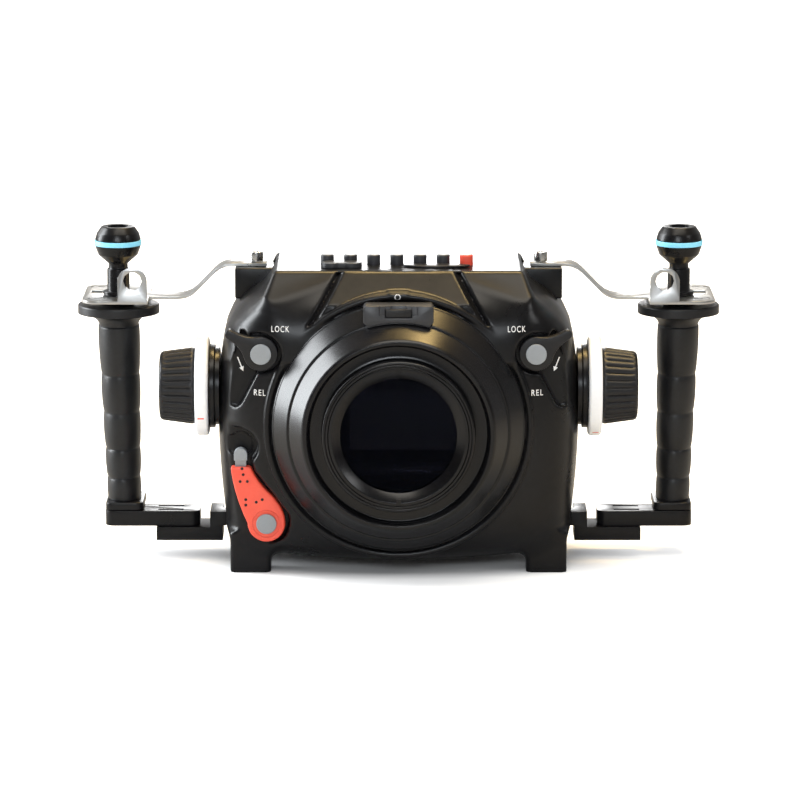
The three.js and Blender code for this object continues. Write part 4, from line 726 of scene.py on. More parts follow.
def handled_group():
    """Colour and roughness that vary in soft patches, as on a surface that has been handled."""
    inputs = {
        "Coordinates": ("Vector", (0, 0, 0)),
        "Colour": ("Color", (0, 0, 0, 1)),
        "Worn Colour": ("Color", (0, 0, 0, 1)),
        "Roughness": ("Float", 0.4),
        "Roughness Spread": ("Float", 0.1),
        "Patch Scale": ("Float", 40.0),
    }
    tree, entry, leave = effect_group("handled", inputs, {"Colour": "Color", "Roughness": "Float"})
    source = entry.outputs["Coordinates"]
    broad = noise_node(tree, source, entry.outputs["Patch Scale"], 4)
    fine_scale = math_node(tree, "MULTIPLY", entry.outputs["Patch Scale"], FINE_PATCH_SCALE)
    fine = noise_node(tree, source, fine_scale, 3)
    broad_part = math_node(tree, "MULTIPLY", broad, BROAD_SHARE)
    fine_part = math_node(tree, "MULTIPLY", fine, 1 - BROAD_SHARE)
    mask = range_node(tree, math_node(tree, "ADD", broad_part, fine_part), PATCH_EDGES, (0, 1))
    ends = {"Factor": mask, "A": entry.outputs["Colour"], "B": entry.outputs["Worn Colour"]}
    mix = add_node(tree, "ShaderNodeMix", ends, data_type="RGBA")
    centred = math_node(tree, "SUBTRACT", mask, 0.5)
    offset = math_node(tree, "MULTIPLY", centred, entry.outputs["Roughness Spread"])
    roughness = math_node(tree, "ADD", entry.outputs["Roughness"], offset)
    feed(tree, leave, {"Colour": mix.outputs["Result"], "Roughness": roughness})
    return tree


def grain_group():
    """The height of a fine grain, stretched along an axis where the surface is brushed."""
    inputs = {
        "Coordinates": ("Vector", (0, 0, 0)),
        "Stretch": ("Vector", (1, 1, 1)),
        "Scale": ("Float", 2000.0),
    }
    tree, entry, leave = effect_group("grain", inputs, {"Height": "Float"})
    ends = {0: entry.outputs["Coordinates"], 1: entry.outputs["Stretch"]}
    source = vector_node(tree, "MULTIPLY", ends).outputs[0]
    fine = noise_node(tree, source, entry.outputs["Scale"], 2)
    coarse_scale = math_node(tree, "MULTIPLY", entry.outputs["Scale"], COARSE_GRAIN_SCALE)
    coarse = noise_node(tree, source, coarse_scale, 2)
    coarse_part = math_node(tree, "MULTIPLY", coarse, COARSE_GRAIN_SHARE)
    feed(tree, leave, {"Height": math_node(tree, "ADD", fine, coarse_part)})
    return tree


HANDLED = handled_group()
GRAIN = grain_group()


def port_radius(tree, coordinates):
    """Distance from the port's axis, and place along it."""
    inputs = {"Location": (0, 0, -PORT_Z * MM), "Vector": coordinates}
    centred = add_node(tree, "ShaderNodeMapping", inputs)
    flat = vector_node(tree, "MULTIPLY", {0: centred.outputs["Vector"], 1: (1, 0, 1)})
    length = vector_node(tree, "LENGTH", {0: flat.outputs["Vector"]})
    along = add_node(tree, "ShaderNodeSeparateXYZ", {0: coordinates})
    ends = {"X": length.outputs["Value"], "Y": along.outputs["Y"]}
    return add_node(tree, "ShaderNodeCombineXYZ", ends).outputs["Vector"]


def finish(name, colour, worn, roughness, spread, patch, grain, depth, strength,
           stretch=(1, 1, 1), specular=0.5, metallic=0.0, turned_axis=None):
    """A surface finish: colours and roughness in patches over a fine grain, depth in mm.
    On a turned surface the grain runs in rings about the port's axis."""
    material, tree, shader = material_tree(name)
    coordinates = tree.nodes.new("ShaderNodeTexCoord").outputs["Object"]
    inputs = {
        "Coordinates": coordinates, "Colour": (*colour, 1), "Worn Colour": (*worn, 1),
        "Roughness": roughness, "Roughness Spread": spread, "Patch Scale": patch,
    }
    handled = add_node(tree, "ShaderNodeGroup", inputs, node_tree=HANDLED)
    source = port_radius(tree, coordinates) if turned_axis else coordinates
    inputs = {"Coordinates": source, "Stretch": stretch, "Scale": grain}
    surface = add_node(tree, "ShaderNodeGroup", inputs, node_tree=GRAIN)
    inputs = {"Strength": strength, "Distance": depth * MM, "Height": surface.outputs["Height"]}
    bump = add_node(tree, "ShaderNodeBump", inputs)
    feed(tree, shader, {
        "Base Color": handled.outputs["Colour"], "Roughness": handled.outputs["Roughness"],
        "Normal": bump.outputs["Normal"], "Metallic": metallic, "Specular IOR Level": specular,
    })
    if turned_axis:
        tangent = add_node(tree, "ShaderNodeTangent", {}, direction_type="RADIAL", axis=turned_axis)
        feed(tree, shader, {"Anisotropic": TURNED_ANISOTROPY, "Tangent": tangent.outputs["Tangent"]})
    return material


def glass_finish(name, colour, tint, roughness, index):
    """Clear glass or acrylic; a low index stands for a surface that is coated against glare."""
    material, tree, shader = material_tree(name)
    feed(tree, shader, {
        "Base Color": (*colour, 1), "Roughness": roughness, "Transmission Weight": 1,
        "Specular Tint": (*tint, 1), "IOR": index,
    })
    return material


# Shell: its surface is the zero of a field that blends body, crown and feet.
def smooth_min(a, b, width):
    share = np.clip(0.5 + 0.5 * (b - a) / width, 0, 1)
    return b + (a - b) * share - width * share * (1 - share)


def smooth_max(a, b, width):
    return -smooth_min(-a, -b, width)


def polygon_distance(corners, x, z):
    """Distance from the polygon's edge, negative inside."""
    nearest = np.full(np.broadcast(x, z).shape, np.inf)
    inside = np.zeros(nearest.shape, bool)
    for (ax, az), (bx, bz) in zip(corners, corners[1:] + corners[:1]):
        ex, ez = bx - ax, bz - az
        share = np.clip(((x - ax) * ex + (z - az) * ez) / (ex * ex + ez * ez), 0, 1)
        nearest = np.minimum(nearest, np.hypot(x - ax - share * ex, z - az - share * ez))
        spans = (az > z) != (bz > z)
        inside ^= spans & (x < ax + (z - az) * ex / (ez if ez else 1))
    return np.where(inside, -nearest, nearest)


def curve(points, steps=16):
    """Points on a Bezier curve through its first and last control points."""
    share = np.linspace(0, 1, steps + 1)[:, None]
    rows = [np.tile(np.array(p, float), (steps + 1, 1)) for p in points]
    while len(rows) > 1:
        rows = [a * (1 - share) + b * share for a, b in zip(rows, rows[1:])]
    return rows[0]


def body_outline():
    """The body's outline as angles about the port's axis and the reach at each."""
    right = np.concatenate([curve(points) for points in OUTLINE_CURVES])
    both = np.concatenate([right, right * (-1, 1)])
    angles = np.arctan2(both[:, 1] - PORT_Z, both[:, 0])
    reaches = np.hypot(both[:, 0], both[:, 1] - PORT_Z)
    angles, order = np.unique(np.round(angles, 6), return_index=True)
    return angles, reaches[order]


OUTLINE = body_outline()
WEDGE_EDGE = rounded(WEDGE, WEDGE_CORNER, 4, closed=True)


def outline_reach(x, z):
    return np.interp(np.arctan2(z - PORT_Z, x), *OUTLINE, period=2 * math.pi)


def bulge_field(x, y, z, growth=0):
    """The body's swelling front, from the collar back to its outline or to a grown one."""
    reach = outline_reach(x, z) - BULGE_RADIUS + growth
    depth = SIDE_START_Y - COLLAR_Y
    u = np.maximum(np.hypot(x, z - PORT_Z) - BULGE_RADIUS, 0) / reach
    v = np.maximum(SIDE_START_Y - y, 0) / depth
    size = np.maximum((u**BULGE_POWER + v**BULGE_POWER) ** (1 / BULGE_POWER), LEAST_SIZE)
    across = (u / size) ** (BULGE_POWER - 1) / reach
    along = (v / size) ** (BULGE_POWER - 1) / depth
    steepness = np.maximum(np.hypot(across, along), LEAST_STEEPNESS / depth)
    return (size - 1) / steepness


def lip_field(x, y, z):
    """The rim of the collar round the port's flange, with the small pad for the ring mark."""
    middle, half = (LIP_OUTER + LIP_INNER) / 2, (LIP_OUTER - LIP_INNER) / 2
    reach = np.hypot(x, z - PORT_Z)
    pad = np.maximum(np.abs(x) - MARK_PAD_HALF, z - PORT_Z - LIP_OUTER - MARK_PAD_RISE)
    pad = np.maximum(pad, LIP_INNER + PORT_Z - z)
    across = smooth_min(np.abs(reach - middle) - half, np.maximum(pad, LIP_INNER - reach), MARK_PAD_FILLET)
    return smooth_max(across, COLLAR_Y - LIP_RISE - y, LIP_ROUND * 2)


def crown_field(x, y, z):
    side = np.abs(x)
    below = CROWN_TOP_Z - z
    half = np.interp(z, CROWN_SIDE_Z, CROWN_SIDE_HALF)
    corner = np.interp(z, CROWN_CORNER_Z, CROWN_CORNER)
    wing_front = (CROWN_Y - WING_SLOPE * below - y) / math.hypot(1, WING_SLOPE)
    fall = CHEEK_FALL * np.maximum(side - CHEEK_X, -CHEEK_X)
    cheek = CHEEK_Y - fall - CHEEK_SLOPE * (CHEEK_Z - fall - z) - y
    wing_front = smooth_max(wing_front, cheek / math.hypot(1, CHEEK_SLOPE, CHEEK_FALL), CHEEK_EDGE)
    wing_front = smooth_max(wing_front, bulge_field(x, y, z, CHEEK_GROWTH), WING_FILLET)
    top = z - CROWN_TOP_Z
    wings = smooth_max(smooth_max(wing_front, top, TOP_EDGE), side - half, corner)
    wings = np.maximum(wings, CROWN_ROOT_Z - z)
    plate_half = np.interp(z, [PLATE_FOOT_Z, CROWN_TOP_Z], [PLATE_FOOT_HALF, PLATE_TOP_HALF])
    plane = (CROWN_Y - PLATE_RISE - PLATE_SLOPE * below - y) / math.hypot(1, PLATE_SLOPE)
    plate_front = smooth_max(plane, COLLAR_Y + CROWN_STEP - y, PLATE_FRONT_EDGE)
    plate = smooth_max(smooth_max(plate_front, top, TOP_EDGE), side - plate_half, PLATE_EDGE)
    plate = np.maximum(plate, PLATE_FOOT_Z - z)
    before = np.maximum(LIP_OUTER - np.hypot(x, z - PORT_Z), side - plate_half)
    before = np.maximum(np.maximum(before, -plane), PLATE_FOOT_Z - z)
    return wings, plate, before


def foot_field(x, y, z, front_y):
    middle = (FOOT_INNER_X + FOOT_OUTER_X) / 2
    half = (FOOT_OUTER_X - FOOT_INNER_X) / 2
    across = np.abs(np.abs(x) - middle) - half
    along = np.abs(y - front_y - FOOT_LENGTH / 2) - FOOT_LENGTH / 2
    return smooth_max(smooth_max(across, along, FOOT_ROUND * 2), z - FOOT_ROOT_Z, FOOT_ROUND)


def groove_distance(x, z):
    """Distance from the centre line of the slanted grooves beside the plate."""
    run, fall = PLATE_FOOT_HALF - PLATE_TOP_HALF, CROWN_TOP_Z - PLATE_FOOT_Z
    across = np.abs(x) - GROOVE_HALF - PLATE_TOP_HALF - (CROWN_TOP_Z - z) * run / fall
    return np.abs(across) * fall / math.hypot(run, fall)


def latch_pocket(x, y, z):
    """The round seat of a latch, and the deeper wedge over which its arm turns."""
    side = np.abs(x)
    reach = np.hypot(side - LATCH_X, z - LATCH_Z)
    wedge = polygon_distance(WEDGE_EDGE, side, z) - WEDGE_ROOM
    seat = smooth_min(reach - LATCH_POCKET_RADIUS, wedge, SEAT_FILLET)
    seat = smooth_max(seat, y - LATCH_FLOOR_Y, SEAT_FLOOR_EDGE)
    deep = np.maximum(wedge, LATCH_HUB_RADIUS + SEAT_RIM - reach)
    return np.minimum(seat, smooth_max(deep, y - WEDGE_FLOOR_Y, WEDGE_FLOOR_EDGE))


def lock_pocket(x, y, z):
    """The lever's recess: its round end, and the head with a deeper round inside it."""
    head = np.hypot(x - POCKET_HEAD[0], z - POCKET_HEAD[1]) - POCKET_HEAD_RADIUS
    hub = np.hypot(x - LOCK_X, z - LOCK_Z) - LOCK_POCKET_RADIUS
    flat = smooth_min(polygon_distance(LOCK_POCKET, x, z), np.minimum(head, hub), HEAD_FILLET)
    deep = smooth_max(head + HEAD_STEP, y - LOCK_FLOOR_Y - HEAD_STEP, HEAD_FLOOR_EDGE)
    return np.minimum(smooth_max(flat, y - LOCK_FLOOR_Y, LOCK_FLOOR_EDGE), deep)


def shell_field(x, y, z):
    wings, plate, before = crown_field(x, y, z)
    solid = smooth_min(bulge_field(x, y, z), wings, SHOULDER_FILLET)
    solid = smooth_min(solid, plate, PLATE_FILLET)
    solid = smooth_max(solid, -before, PLATE_EDGE)
    feet = np.minimum(
        foot_field(x, y, z, FRONT_FOOT_Y), foot_field(x, y, z, FLANGE_Y - FOOT_LENGTH)
    )
    solid = smooth_min(solid, feet, FOOT_FILLET)
    groove = (groove_distance(x, z) - GROOVE_HALF) * GROOVE_DEPTH / GROOVE_HALF - solid
    groove = groove / math.hypot(1, GROOVE_DEPTH / GROOVE_HALF)
    groove = np.maximum(groove, np.maximum(PLATE_FOOT_Z - z, z - GROOVE_TOP_Z))
    solid = smooth_max(solid, -groove, GROOVE_EDGE)
    solid = smooth_min(solid, lip_field(x, y, z), LIP_FILLET)
    solid = smooth_max(solid, -latch_pocket(x, y, z), LATCH_POCKET_EDGE)
    solid = smooth_max(solid, -lock_pocket(x, y, z), LOCK_POCKET_EDGE)
    return np.maximum(np.maximum(solid, -z), y - FLANGE_Y)


def surface_net(field, xs, ys, zs):
    """Points and quads of the field's zero surface on a grid of these coordinates."""
    lines = [np.asarray(c, float) for c in (xs, ys, zs)]
    values = field(lines[0][:, None, None], lines[1][None, :, None], lines[2][None, None, :])
    cells = np.array(values.shape) - 1
    total = np.zeros((cells.prod(), 3))
    hits = np.zeros(cells.prod())
    quads = []
    for axis in range(3):
        others = [a for a in range(3) if a != axis]
        low = np.moveaxis(values, axis, 0)[:-1]
        high = np.moveaxis(values, axis, 0)[1:]
        where = np.argwhere((low < 0) != (high < 0))
        a, b = low[tuple(where.T)], high[tuple(where.T)]
        spot = np.empty_like(where)
        spot[:, [axis, *others]] = where
        point = np.stack([lines[k][spot[:, k]] for k in range(3)], 1)
        step = lines[axis][spot[:, axis] + 1] - lines[axis][spot[:, axis]]
        point[:, axis] += a / (a - b) * step
        ring = []
        for back in ((0, 0), (1, 0), (1, 1), (0, 1)):
            cell = spot.copy()
            cell[:, others[0]] -= back[0]
            cell[:, others[1]] -= back[1]
            index = np.ravel_multi_index(cell.T, cells, mode="clip")
            for k in range(3):
                total[:, k] += np.bincount(index, point[:, k], cells.prod())
            hits += np.bincount(index, minlength=cells.prod())
            ring.append(index)
        ring = np.stack(ring, 1)
        flip = (a < 0) != (axis == 1)
        ring[flip] = ring[flip][:, ::-1]
        quads.append(ring)
    used = np.flatnonzero(hits)
    number = np.zeros(len(hits), int)
    number[used] = np.arange(len(used))
    return total[used] / hits[used][:, None], number[np.concatenate(quads)]


def settled(field, points, furthest, rounds=3, probe=0.02):
    """The points moved on to the field's zero surface, none further than given."""
    moved = points.copy()
    for _ in range(rounds):
        value = field(*moved.T)
        slope = np.empty_like(moved)
        for k in range(3):
            step = np.zeros(3)
            step[k] = probe
            slope[:, k] = (field(*(moved + step).T) - field(*(moved - step).T)) / (2 * probe)
        moved -= value[:, None] * slope / np.maximum((slope**2).sum(1), LEAST_SLOPE)[:, None]
    shift = moved - points
    length = np.linalg.norm(shift, axis=1, keepdims=True)
    return points + shift * np.minimum(1, furthest / np.maximum(length, SMALLEST))


def rod(name, radius, low, high, axis, turns=96):
    """A closed cylinder between two points on an axis, 0 for X, 1 for Y or 2 for Z."""
    angles = np.arange(turns) * 2 * math.pi / turns
    ring = np.stack([np.cos(angles), np.sin(angles)], 1) * radius
    low, high = np.array(low, float), np.array(high, float)
    others = [a for a in range(3) if a != axis]
    ends = []
    for end in (low, high):
        circle = np.tile(end, (turns, 1))
        circle[:, others] += ring
        ends.append(circle)
    faces = [tuple(range(turns)), tuple(range(turns, 2 * turns))]
    faces += [(i, (i + 1) % turns, turns + (i + 1) % turns, turns + i) for i in range(turns)]
    obj = new_object(name, np.concatenate(ends), faces)
    return outward(obj)


def outward(obj):
    """Turns the faces of a closed mesh outwards."""
    bm = bmesh.new()
    bm.from_mesh(obj.data)
    bmesh.ops.remove_doubles(bm, verts=bm.verts, dist=CLOSE_POINTS)
    bmesh.ops.recalc_face_normals(bm, faces=bm.faces)
    bm.to_mesh(obj.data)
    bm.free()
    return obj


def loft(name, rings):
    """A closed solid through rings of equally many points."""
    count = len(rings[0])
    faces = [tuple(range(count))]
    for row in range(len(rings) - 1):
        for i in range(count):
            a, b = row * count + i, row * count + (i + 1) % count
            faces.append((a, b, b + count, a + count))
    last = (len(rings) - 1) * count
    faces.append(tuple(range(last, last + count)))
    return outward(new_object(name, np.concatenate(rings), faces))


def cavity():
    """The room inside the shell, open at the back."""
    angles = np.linspace(-math.pi, math.pi, 121)[:-1]
    reach = np.interp(angles, *OUTLINE, period=2 * math.pi) - CAVITY_WALL
    rings = []
    for turn in np.linspace(0, math.pi / 2, 13):
        outward_share = math.sin(turn) ** (2 / BULGE_POWER)
        back = 1 - max(0, math.cos(turn)) ** (2 / BULGE_POWER)
        radius = CAVITY_RADIUS + (reach - CAVITY_RADIUS) * outward_share
        y = CAVITY_Y + (CAVITY_START_Y - CAVITY_Y) * back
        rings.append(cavity_ring(angles, radius, y))
    rings.append(cavity_ring(angles, reach, FLANGE_Y + 2))
    return loft("cavity", rings)


def cavity_ring(angles, radius, y):
    x = np.cos(angles) * radius
    z = np.clip(PORT_Z + np.sin(angles) * radius, CAVITY_FLOOR_Z, CAVITY_TOP_Z)
    return np.stack([x, np.full_like(x, y), z], 1)


def button_centres():
    """X of each deck button, from the frame."""
    names = sorted(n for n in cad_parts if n.startswith("top_button_"))
    return [(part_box(n)[0].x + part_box(n)[1].x) / 2 / MM for n in names]


def grown_ring(growth, y, count=240):
    """The body's outline grown or shrunk about the port's axis, as a ring of points."""
    angles = np.linspace(-math.pi, math.pi, count + 1)[:-1]
    reach = np.interp(angles, *OUTLINE, period=2 * math.pi) + growth
    x, z = np.cos(angles) * reach, PORT_Z + np.sin(angles) * reach
    return np.stack([x, np.full_like(x, y), z], 1)


def block(name, low, high):
    corners = [(low[0], low[1]), (high[0], low[1]), (high[0], high[1]), (low[0], high[1])]
    return plate(name, corners, Z_AXIS, low[2], high[2])


def shell_cuts():
    """What is cut out of the shell: seats, wells, bores, the cavity and the seal's groove."""
    front = COLLAR_Y - CUT_OVERRUN
    over = CROWN_TOP_Z + CUT_OVERRUN
    shaft_bore = SHAFT_RADIUS + SEAT_GAP
    cam_y = LOCK_FLOOR_Y + LOCK_SHAFT_LENGTH
    bore_y = CAVITY_Y + CUT_OVERRUN
    lever_floor = (*LEVER_PIVOT, LEVER_FLOOR_Z)
    cuts = [
        rod("seat", SEAT_RADIUS, (0, front, PORT_Z), (0, SEAT_Y, PORT_Z), Y_AXIS, 180),
        rod("bore", BORE_RADIUS, (0, front, PORT_Z), (0, bore_y, PORT_Z), Y_AXIS, 180),
        cavity(),
        rod("lock_bore", shaft_bore, (LOCK_X, front, LOCK_Z), (LOCK_X, cam_y, LOCK_Z), Y_AXIS, 32),
        rod("lever_bore", LEVER_BORE_RADIUS, lever_floor, (*LEVER_PIVOT, over), Z_AXIS, 32),
    ]
    for x in button_centres():
        floor = CROWN_TOP_Z - WELL_DEPTH
        cuts.append(rod("well", WELL_RADIUS, (x, BUTTON_Y, floor), (x, BUTTON_Y, over), Z_AXIS, 48))
        ends = [(x, BUTTON_Y, z) for z in (CAVITY_TOP_Z - CUT_OVERRUN, floor + CUT_OVERRUN)]
        cuts.append(rod("stem_bore", STEM_BORE_RADIUS, *ends, Z_AXIS, 24))
    for side in (-1, 1):
        ends = [(side * LATCH_X, y, LATCH_Z) for y in (front, FLANGE_Y + NET_MARGIN)]
        cuts.append(rod("latch_bore", shaft_bore, *ends, Y_AXIS, 32))
        ends = [(side * x, KNOB_Y, KNOB_Z) for x in GLAND_BORE_X]
        cuts.append(rod("gland_bore", GLAND_RADIUS + SEAT_GAP, *ends, X_AXIS, 48))
        xs = sorted(side * x for x in PILLAR_X)
        low, high = (xs[0], -PILLAR_HALF_Y, PILLAR_FOOT_Z), (xs[1], PILLAR_HALF_Y, over)
        cuts.append(block("pillar_notch", low, high))
    back = FLANGE_Y + NET_MARGIN
    seal = loft("seal_groove", [grown_ring(SEAL_OUTER, y) for y in (SEAL_GROOVE_Y, back)])
    inner_ends = (SEAL_GROOVE_Y - SEAT_GAP, back + SEAT_GAP)
    inner = loft("seal_core", [grown_ring(SEAL_INNER, y) for y in inner_ends])
    cuts.append(boolean(seal, "DIFFERENCE", inner))
    return cuts


def front_shell(material):
    """The casing: one swelling body with crown, collar, recesses and feet, and what is cut from it."""
    foot_y = FLANGE_Y - FOOT_LENGTH
    xs = np.arange(-NET_HALF_WIDTH, NET_HALF_WIDTH, NET_STEP)
    front = np.arange(COLLAR_Y - LIP_RISE - NET_MARGIN, BUTTON_Y + 3 * NET_MARGIN, NET_STEP)
    middle = np.arange(front[-1] + NET_STEP, foot_y - NET_LONG_STEP, NET_LONG_STEP)
    foot = np.arange(foot_y - NET_MARGIN, foot_y + NET_LONG_STEP, NET_STEP)
    ys = np.concatenate([front, middle, foot, FLANGE_Y - np.array(NET_REAR)])
    zs = np.arange(NET_FLOOR_Z, CROWN_TOP_Z + NET_MARGIN, NET_STEP)
    points, quads = surface_net(shell_field, xs, ys, zs)
    points = settled(shell_field, points, NET_STEP / 2)
    shell = new_object("shell_body", points, quads.tolist())
    boolean(shell, "DIFFERENCE", *shell_cuts())
    pins = []
    for side in (-1, 1):
        for radius, tip_x, turns in ((PIN_RADIUS, PIN_TIP_X, 32), (PIN_BOSS_RADIUS, PIN_BOSS_X, 48)):
            ends = [(side * x, IDLER_Y, KNOB_Z) for x in (tip_x, PIN_ROOT_X)]
            pins.append(rod("idler_pin", radius, *ends, X_AXIS, turns))
    boolean(shell, "UNION", *pins)
    smooth(shell, 40)
    return finish_piece(shell, "housing", "black_anodised", material, "front_shell")


def in_front(profile, corner):
    """A profile of the port, its distances turned into places along Y and its corners broken."""
    return rounded([(radius, COLLAR_Y - SEAT_GAP - ahead) for radius, ahead in profile], corner, 3, True)


def port_barrel(material):
    """The port's two cones, its lip, the recess behind it and the nose that holds the glass."""
    points = in_front(BARREL_PROFILE, EDGES["port_barrel"])
    barrel = smooth(spun("port_cones", points, Y_AXIS, (0, PORT_Z), PORT_TURNS, True), 30)
    finish_piece(barrel, "port", "black_anodised", material, "port_barrel")


def retaining_ring(material):
    """The ring that holds the glass, with a spanner notch above and below."""
    points = in_front(RETAINER_PROFILE, EDGES["port_retaining_ring"])
    ring = spun("glass_retainer", points, Y_AXIS, (0, PORT_Z), PORT_TURNS, True)
    front, back = (COLLAR_Y - SEAT_GAP - ahead for ahead in NOTCH_FORWARD)
    notches = []
    for side in (-1, 1):
        zs = sorted(PORT_Z + side * reach for reach in NOTCH_REACH)
        notches.append(block("notch", (-NOTCH_HALF, front, zs[0]), (NOTCH_HALF, back, zs[1])))
    boolean(ring, "DIFFERENCE", *notches)
    finish_piece(smooth(ring, 30), "port", "black_anodised", material, "port_retaining_ring")


def index_block(material, black):
    """The block on top of the port: two cheeks with the index pad sunk between them."""
    low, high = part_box("port_index_block")
    front, back = low.y / MM - BALL_PLANE_Y / MM, high.y / MM - BALL_PLANE_Y / MM
    half, top = high.x / MM, high.z / MM
    root = PORT_Z + INDEX_ROOT_RADIUS
    outline = [(-half, root)] + arc((0, PORT_Z), INDEX_ROOT_RADIUS, 106, 74, 12) + [(half, root)]
    outline += [(half, top - INDEX_CHAMFER), (half - INDEX_CHAMFER, top)]
    outline += [(INDEX_CHAMFER - half, top), (-half, top - INDEX_CHAMFER)]
    body = plate("block", outline, Y_AXIS, front, back)
    ahead, over = front - INDEX_OVERRUN, top + INDEX_OVERRUN
    cuts = [
        block(
            "pad_room", (-INDEX_PAD_HALF, ahead, top - INDEX_PAD_FALL),
            (INDEX_PAD_HALF, front + INDEX_PAD_DEPTH, over),
        ),
        block(
            "pad_notch", (-INDEX_NOTCH_HALF, front + INDEX_OVERRUN, top - INDEX_NOTCH_FALL),
            (INDEX_NOTCH_HALF, front + INDEX_NOTCH_DEPTH, over),
        ),
    ]
    for side in (-1, 1):
        xs = sorted((side * (INDEX_PAD_HALF - INDEX_GAP), side * (INDEX_PAD_HALF + INDEX_STEP_WIDTH)))
        low, high = (xs[0], ahead, top - INDEX_STEP_FALL), (xs[1], front + INDEX_STEP_DEPTH, over)
        cuts.append(block("cheek_step", low, high))
    edged(boolean(body, "DIFFERENCE", *cuts), EDGES["index_block"], 2)
    body.name = "index_block"
    # The block gets the lighter plastic that is passed in, a painted sheen so that its black front reads
    # lit.
    finish_piece(body, "port", "black_plastic", material, "port_index_block")
    pad_half = INDEX_PAD_HALF - INDEX_GAP
    low = (-pad_half, front + INDEX_OVERRUN, top - INDEX_PAD_FALL + INDEX_GAP)
    high = (pad_half, front + INDEX_STEP_WIDTH, top - INDEX_NOTCH_FALL + INDEX_GAP)
    pad = edged(block("index_pad", low, high), EDGES["index_pad"])
    finish_piece(pad, "port", "black_plastic", black)


def latch_outline(side):
    """Hub and arm in one outline, the arm leaving the hub in a soft curve."""
    tip = arc((ARM_REACH - ARM_HALF, 0), ARM_HALF, -90, 90, 10)
    root_x = LATCH_HUB_RADIUS * math.cos(ARM_ROOT_ANGLE)
    root_z = LATCH_HUB_RADIUS * math.sin(ARM_ROOT_ANGLE)
    waist = (ARM_WAIST, ARM_HALF)
    upper = bend((ARM_REACH - ARM_HALF, ARM_HALF), waist, (root_x, root_z), 8)[1:]
    root = math.degrees(ARM_ROOT_ANGLE)
    hub = arc((0, 0), LATCH_HUB_RADIUS, root, 360 - root, 40)[1:]
    lower = [(x, -z) for x, z in reversed(upper)][1:-1]
    turn = Matrix.Rotation(ARM_ANGLE, 2)
    turned = [turn @ Vector(point) for point in tip + upper + hub + lower]
    return [(side * (LATCH_X - x), LATCH_Z + z) for x, z in turned]


def lever_shaft(name, centre, back, claw_y, thickness):
    """The shaft behind a lever, ending in a plain round claw or cam."""
    root = back - SHAFT_ROOT
    profile = [(SHAFT_RADIUS, root), (SHAFT_RADIUS, claw_y)]
    profile += [(CLAW_RADIUS, claw_y), (CLAW_RADIUS, claw_y + thickness)]
    return spun(name, profile, Y_AXIS, centre, 48)


def latch(side, name, body, black, grey):
    """A latch lever on its shaft, and its cap."""
    back = LATCH_FLOOR_Y - SEAT_GAP
    lever = plate("latch", latch_outline(side), Y_AXIS, back - LATCH_THICKNESS, back)
    shaft = lever_shaft("latch_shaft", (side * LATCH_X, LATCH_Z), back, CLAW_Y, CLAW_THICKNESS)
    edged(lever, EDGES["latch_lever"])
    boolean(lever, "UNION", shaft)
    lever.name = name + "_arm"
    finish_piece(smooth(lever, 40), body, "black_plastic", black, name + "_lever")
    dressed_round(name + "_cap", body, "grey_plastic", grey, Y_AXIS)


def lock_outline():
    """The lever's outline: a broad top, a waist and the round end about its shaft."""
    hub_left = (LOCK_X - LOCK_END_RADIUS, LOCK_Z)
    hub_right = (LOCK_X + LOCK_END_RADIUS, LOCK_Z)
    top_left, top_right = ((x, LOCK_TOP_Z) for x in LOCK_TOP_X)
    return (
        bend(top_left, LOCK_LEFT_PULL, hub_left, 20)[:-1]
        + arc((LOCK_X, LOCK_Z), LOCK_END_RADIUS, 180, 360, 36)[:-1]
        + bend(hub_right, (hub_right[0], LOCK_RIGHT_PULL_Z), LOCK_WAIST, 14)[:-1]
        + bend(LOCK_WAIST, LOCK_TOP_PULL, top_right, 10)
    )


def port_lock(red, grey):
    """The red lever with its slot for the peg and the line round its cap, the cap and the peg."""
    back = LOCK_FLOOR_Y - SEAT_GAP
    front = back - LOCK_THICKNESS
    lever = edged(plate("lock", lock_outline(), Y_AXIS, front, back), EDGES["port_lock_lever"], 4)
    slot_low, slot_high = zip(PEG_SLOT_X, (back - depth for depth in PEG_SLOT_DEPTH), PEG_SLOT_Z)
    slot = block("slot", slot_low, slot_high)
    cam_y = LOCK_FLOOR_Y + LOCK_SHAFT_LENGTH
    shaft = lever_shaft("lock_shaft", (LOCK_X, LOCK_Z), back, cam_y, LOCK_CAM_THICKNESS)
    boolean(lever, "UNION", shaft)
    ahead, floor = front - 2 * BOSS_LINE_DEPTH, front + BOSS_LINE_DEPTH
    outer = BOSS_RADIUS + BOSS_LINE_WIDTH
    profile = [(BOSS_RADIUS, ahead), (outer, ahead), (outer - BOSS_LINE_TAPER, floor), (BOSS_RADIUS, floor)]
    line = spun("boss_line", profile, Y_AXIS, (LOCK_X, LOCK_Z), 64, closed=True)
    boolean(lever, "DIFFERENCE", slot, line)
    lever.name = "port_lock_arm"
    finish_piece(smooth(lever, 40), "port_lock", "red_plastic", red, "port_lock_lever")
    dressed_round("port_lock_cap", "port_lock", "grey_plastic", grey, Y_AXIS)
    dressed("port_lock_peg", "lock_peg", "grey_plastic", grey, 4)


def grip_swell(z):
    """How far the grip swells at a height: nothing at a crease, full between two."""
    edges = (GRIP_FOOT_Z - GRIP_FOOT_RUN, *GRIP_CREASES, GRIP_TOP_Z + GRIP_TOP_RUN)
    for low, high in zip(edges, edges[1:]):
        if z <= high:
            return math.sin(math.pi * max(0, z - low) / (high - low)) ** GRIP_SWELL_POWER
    return 0


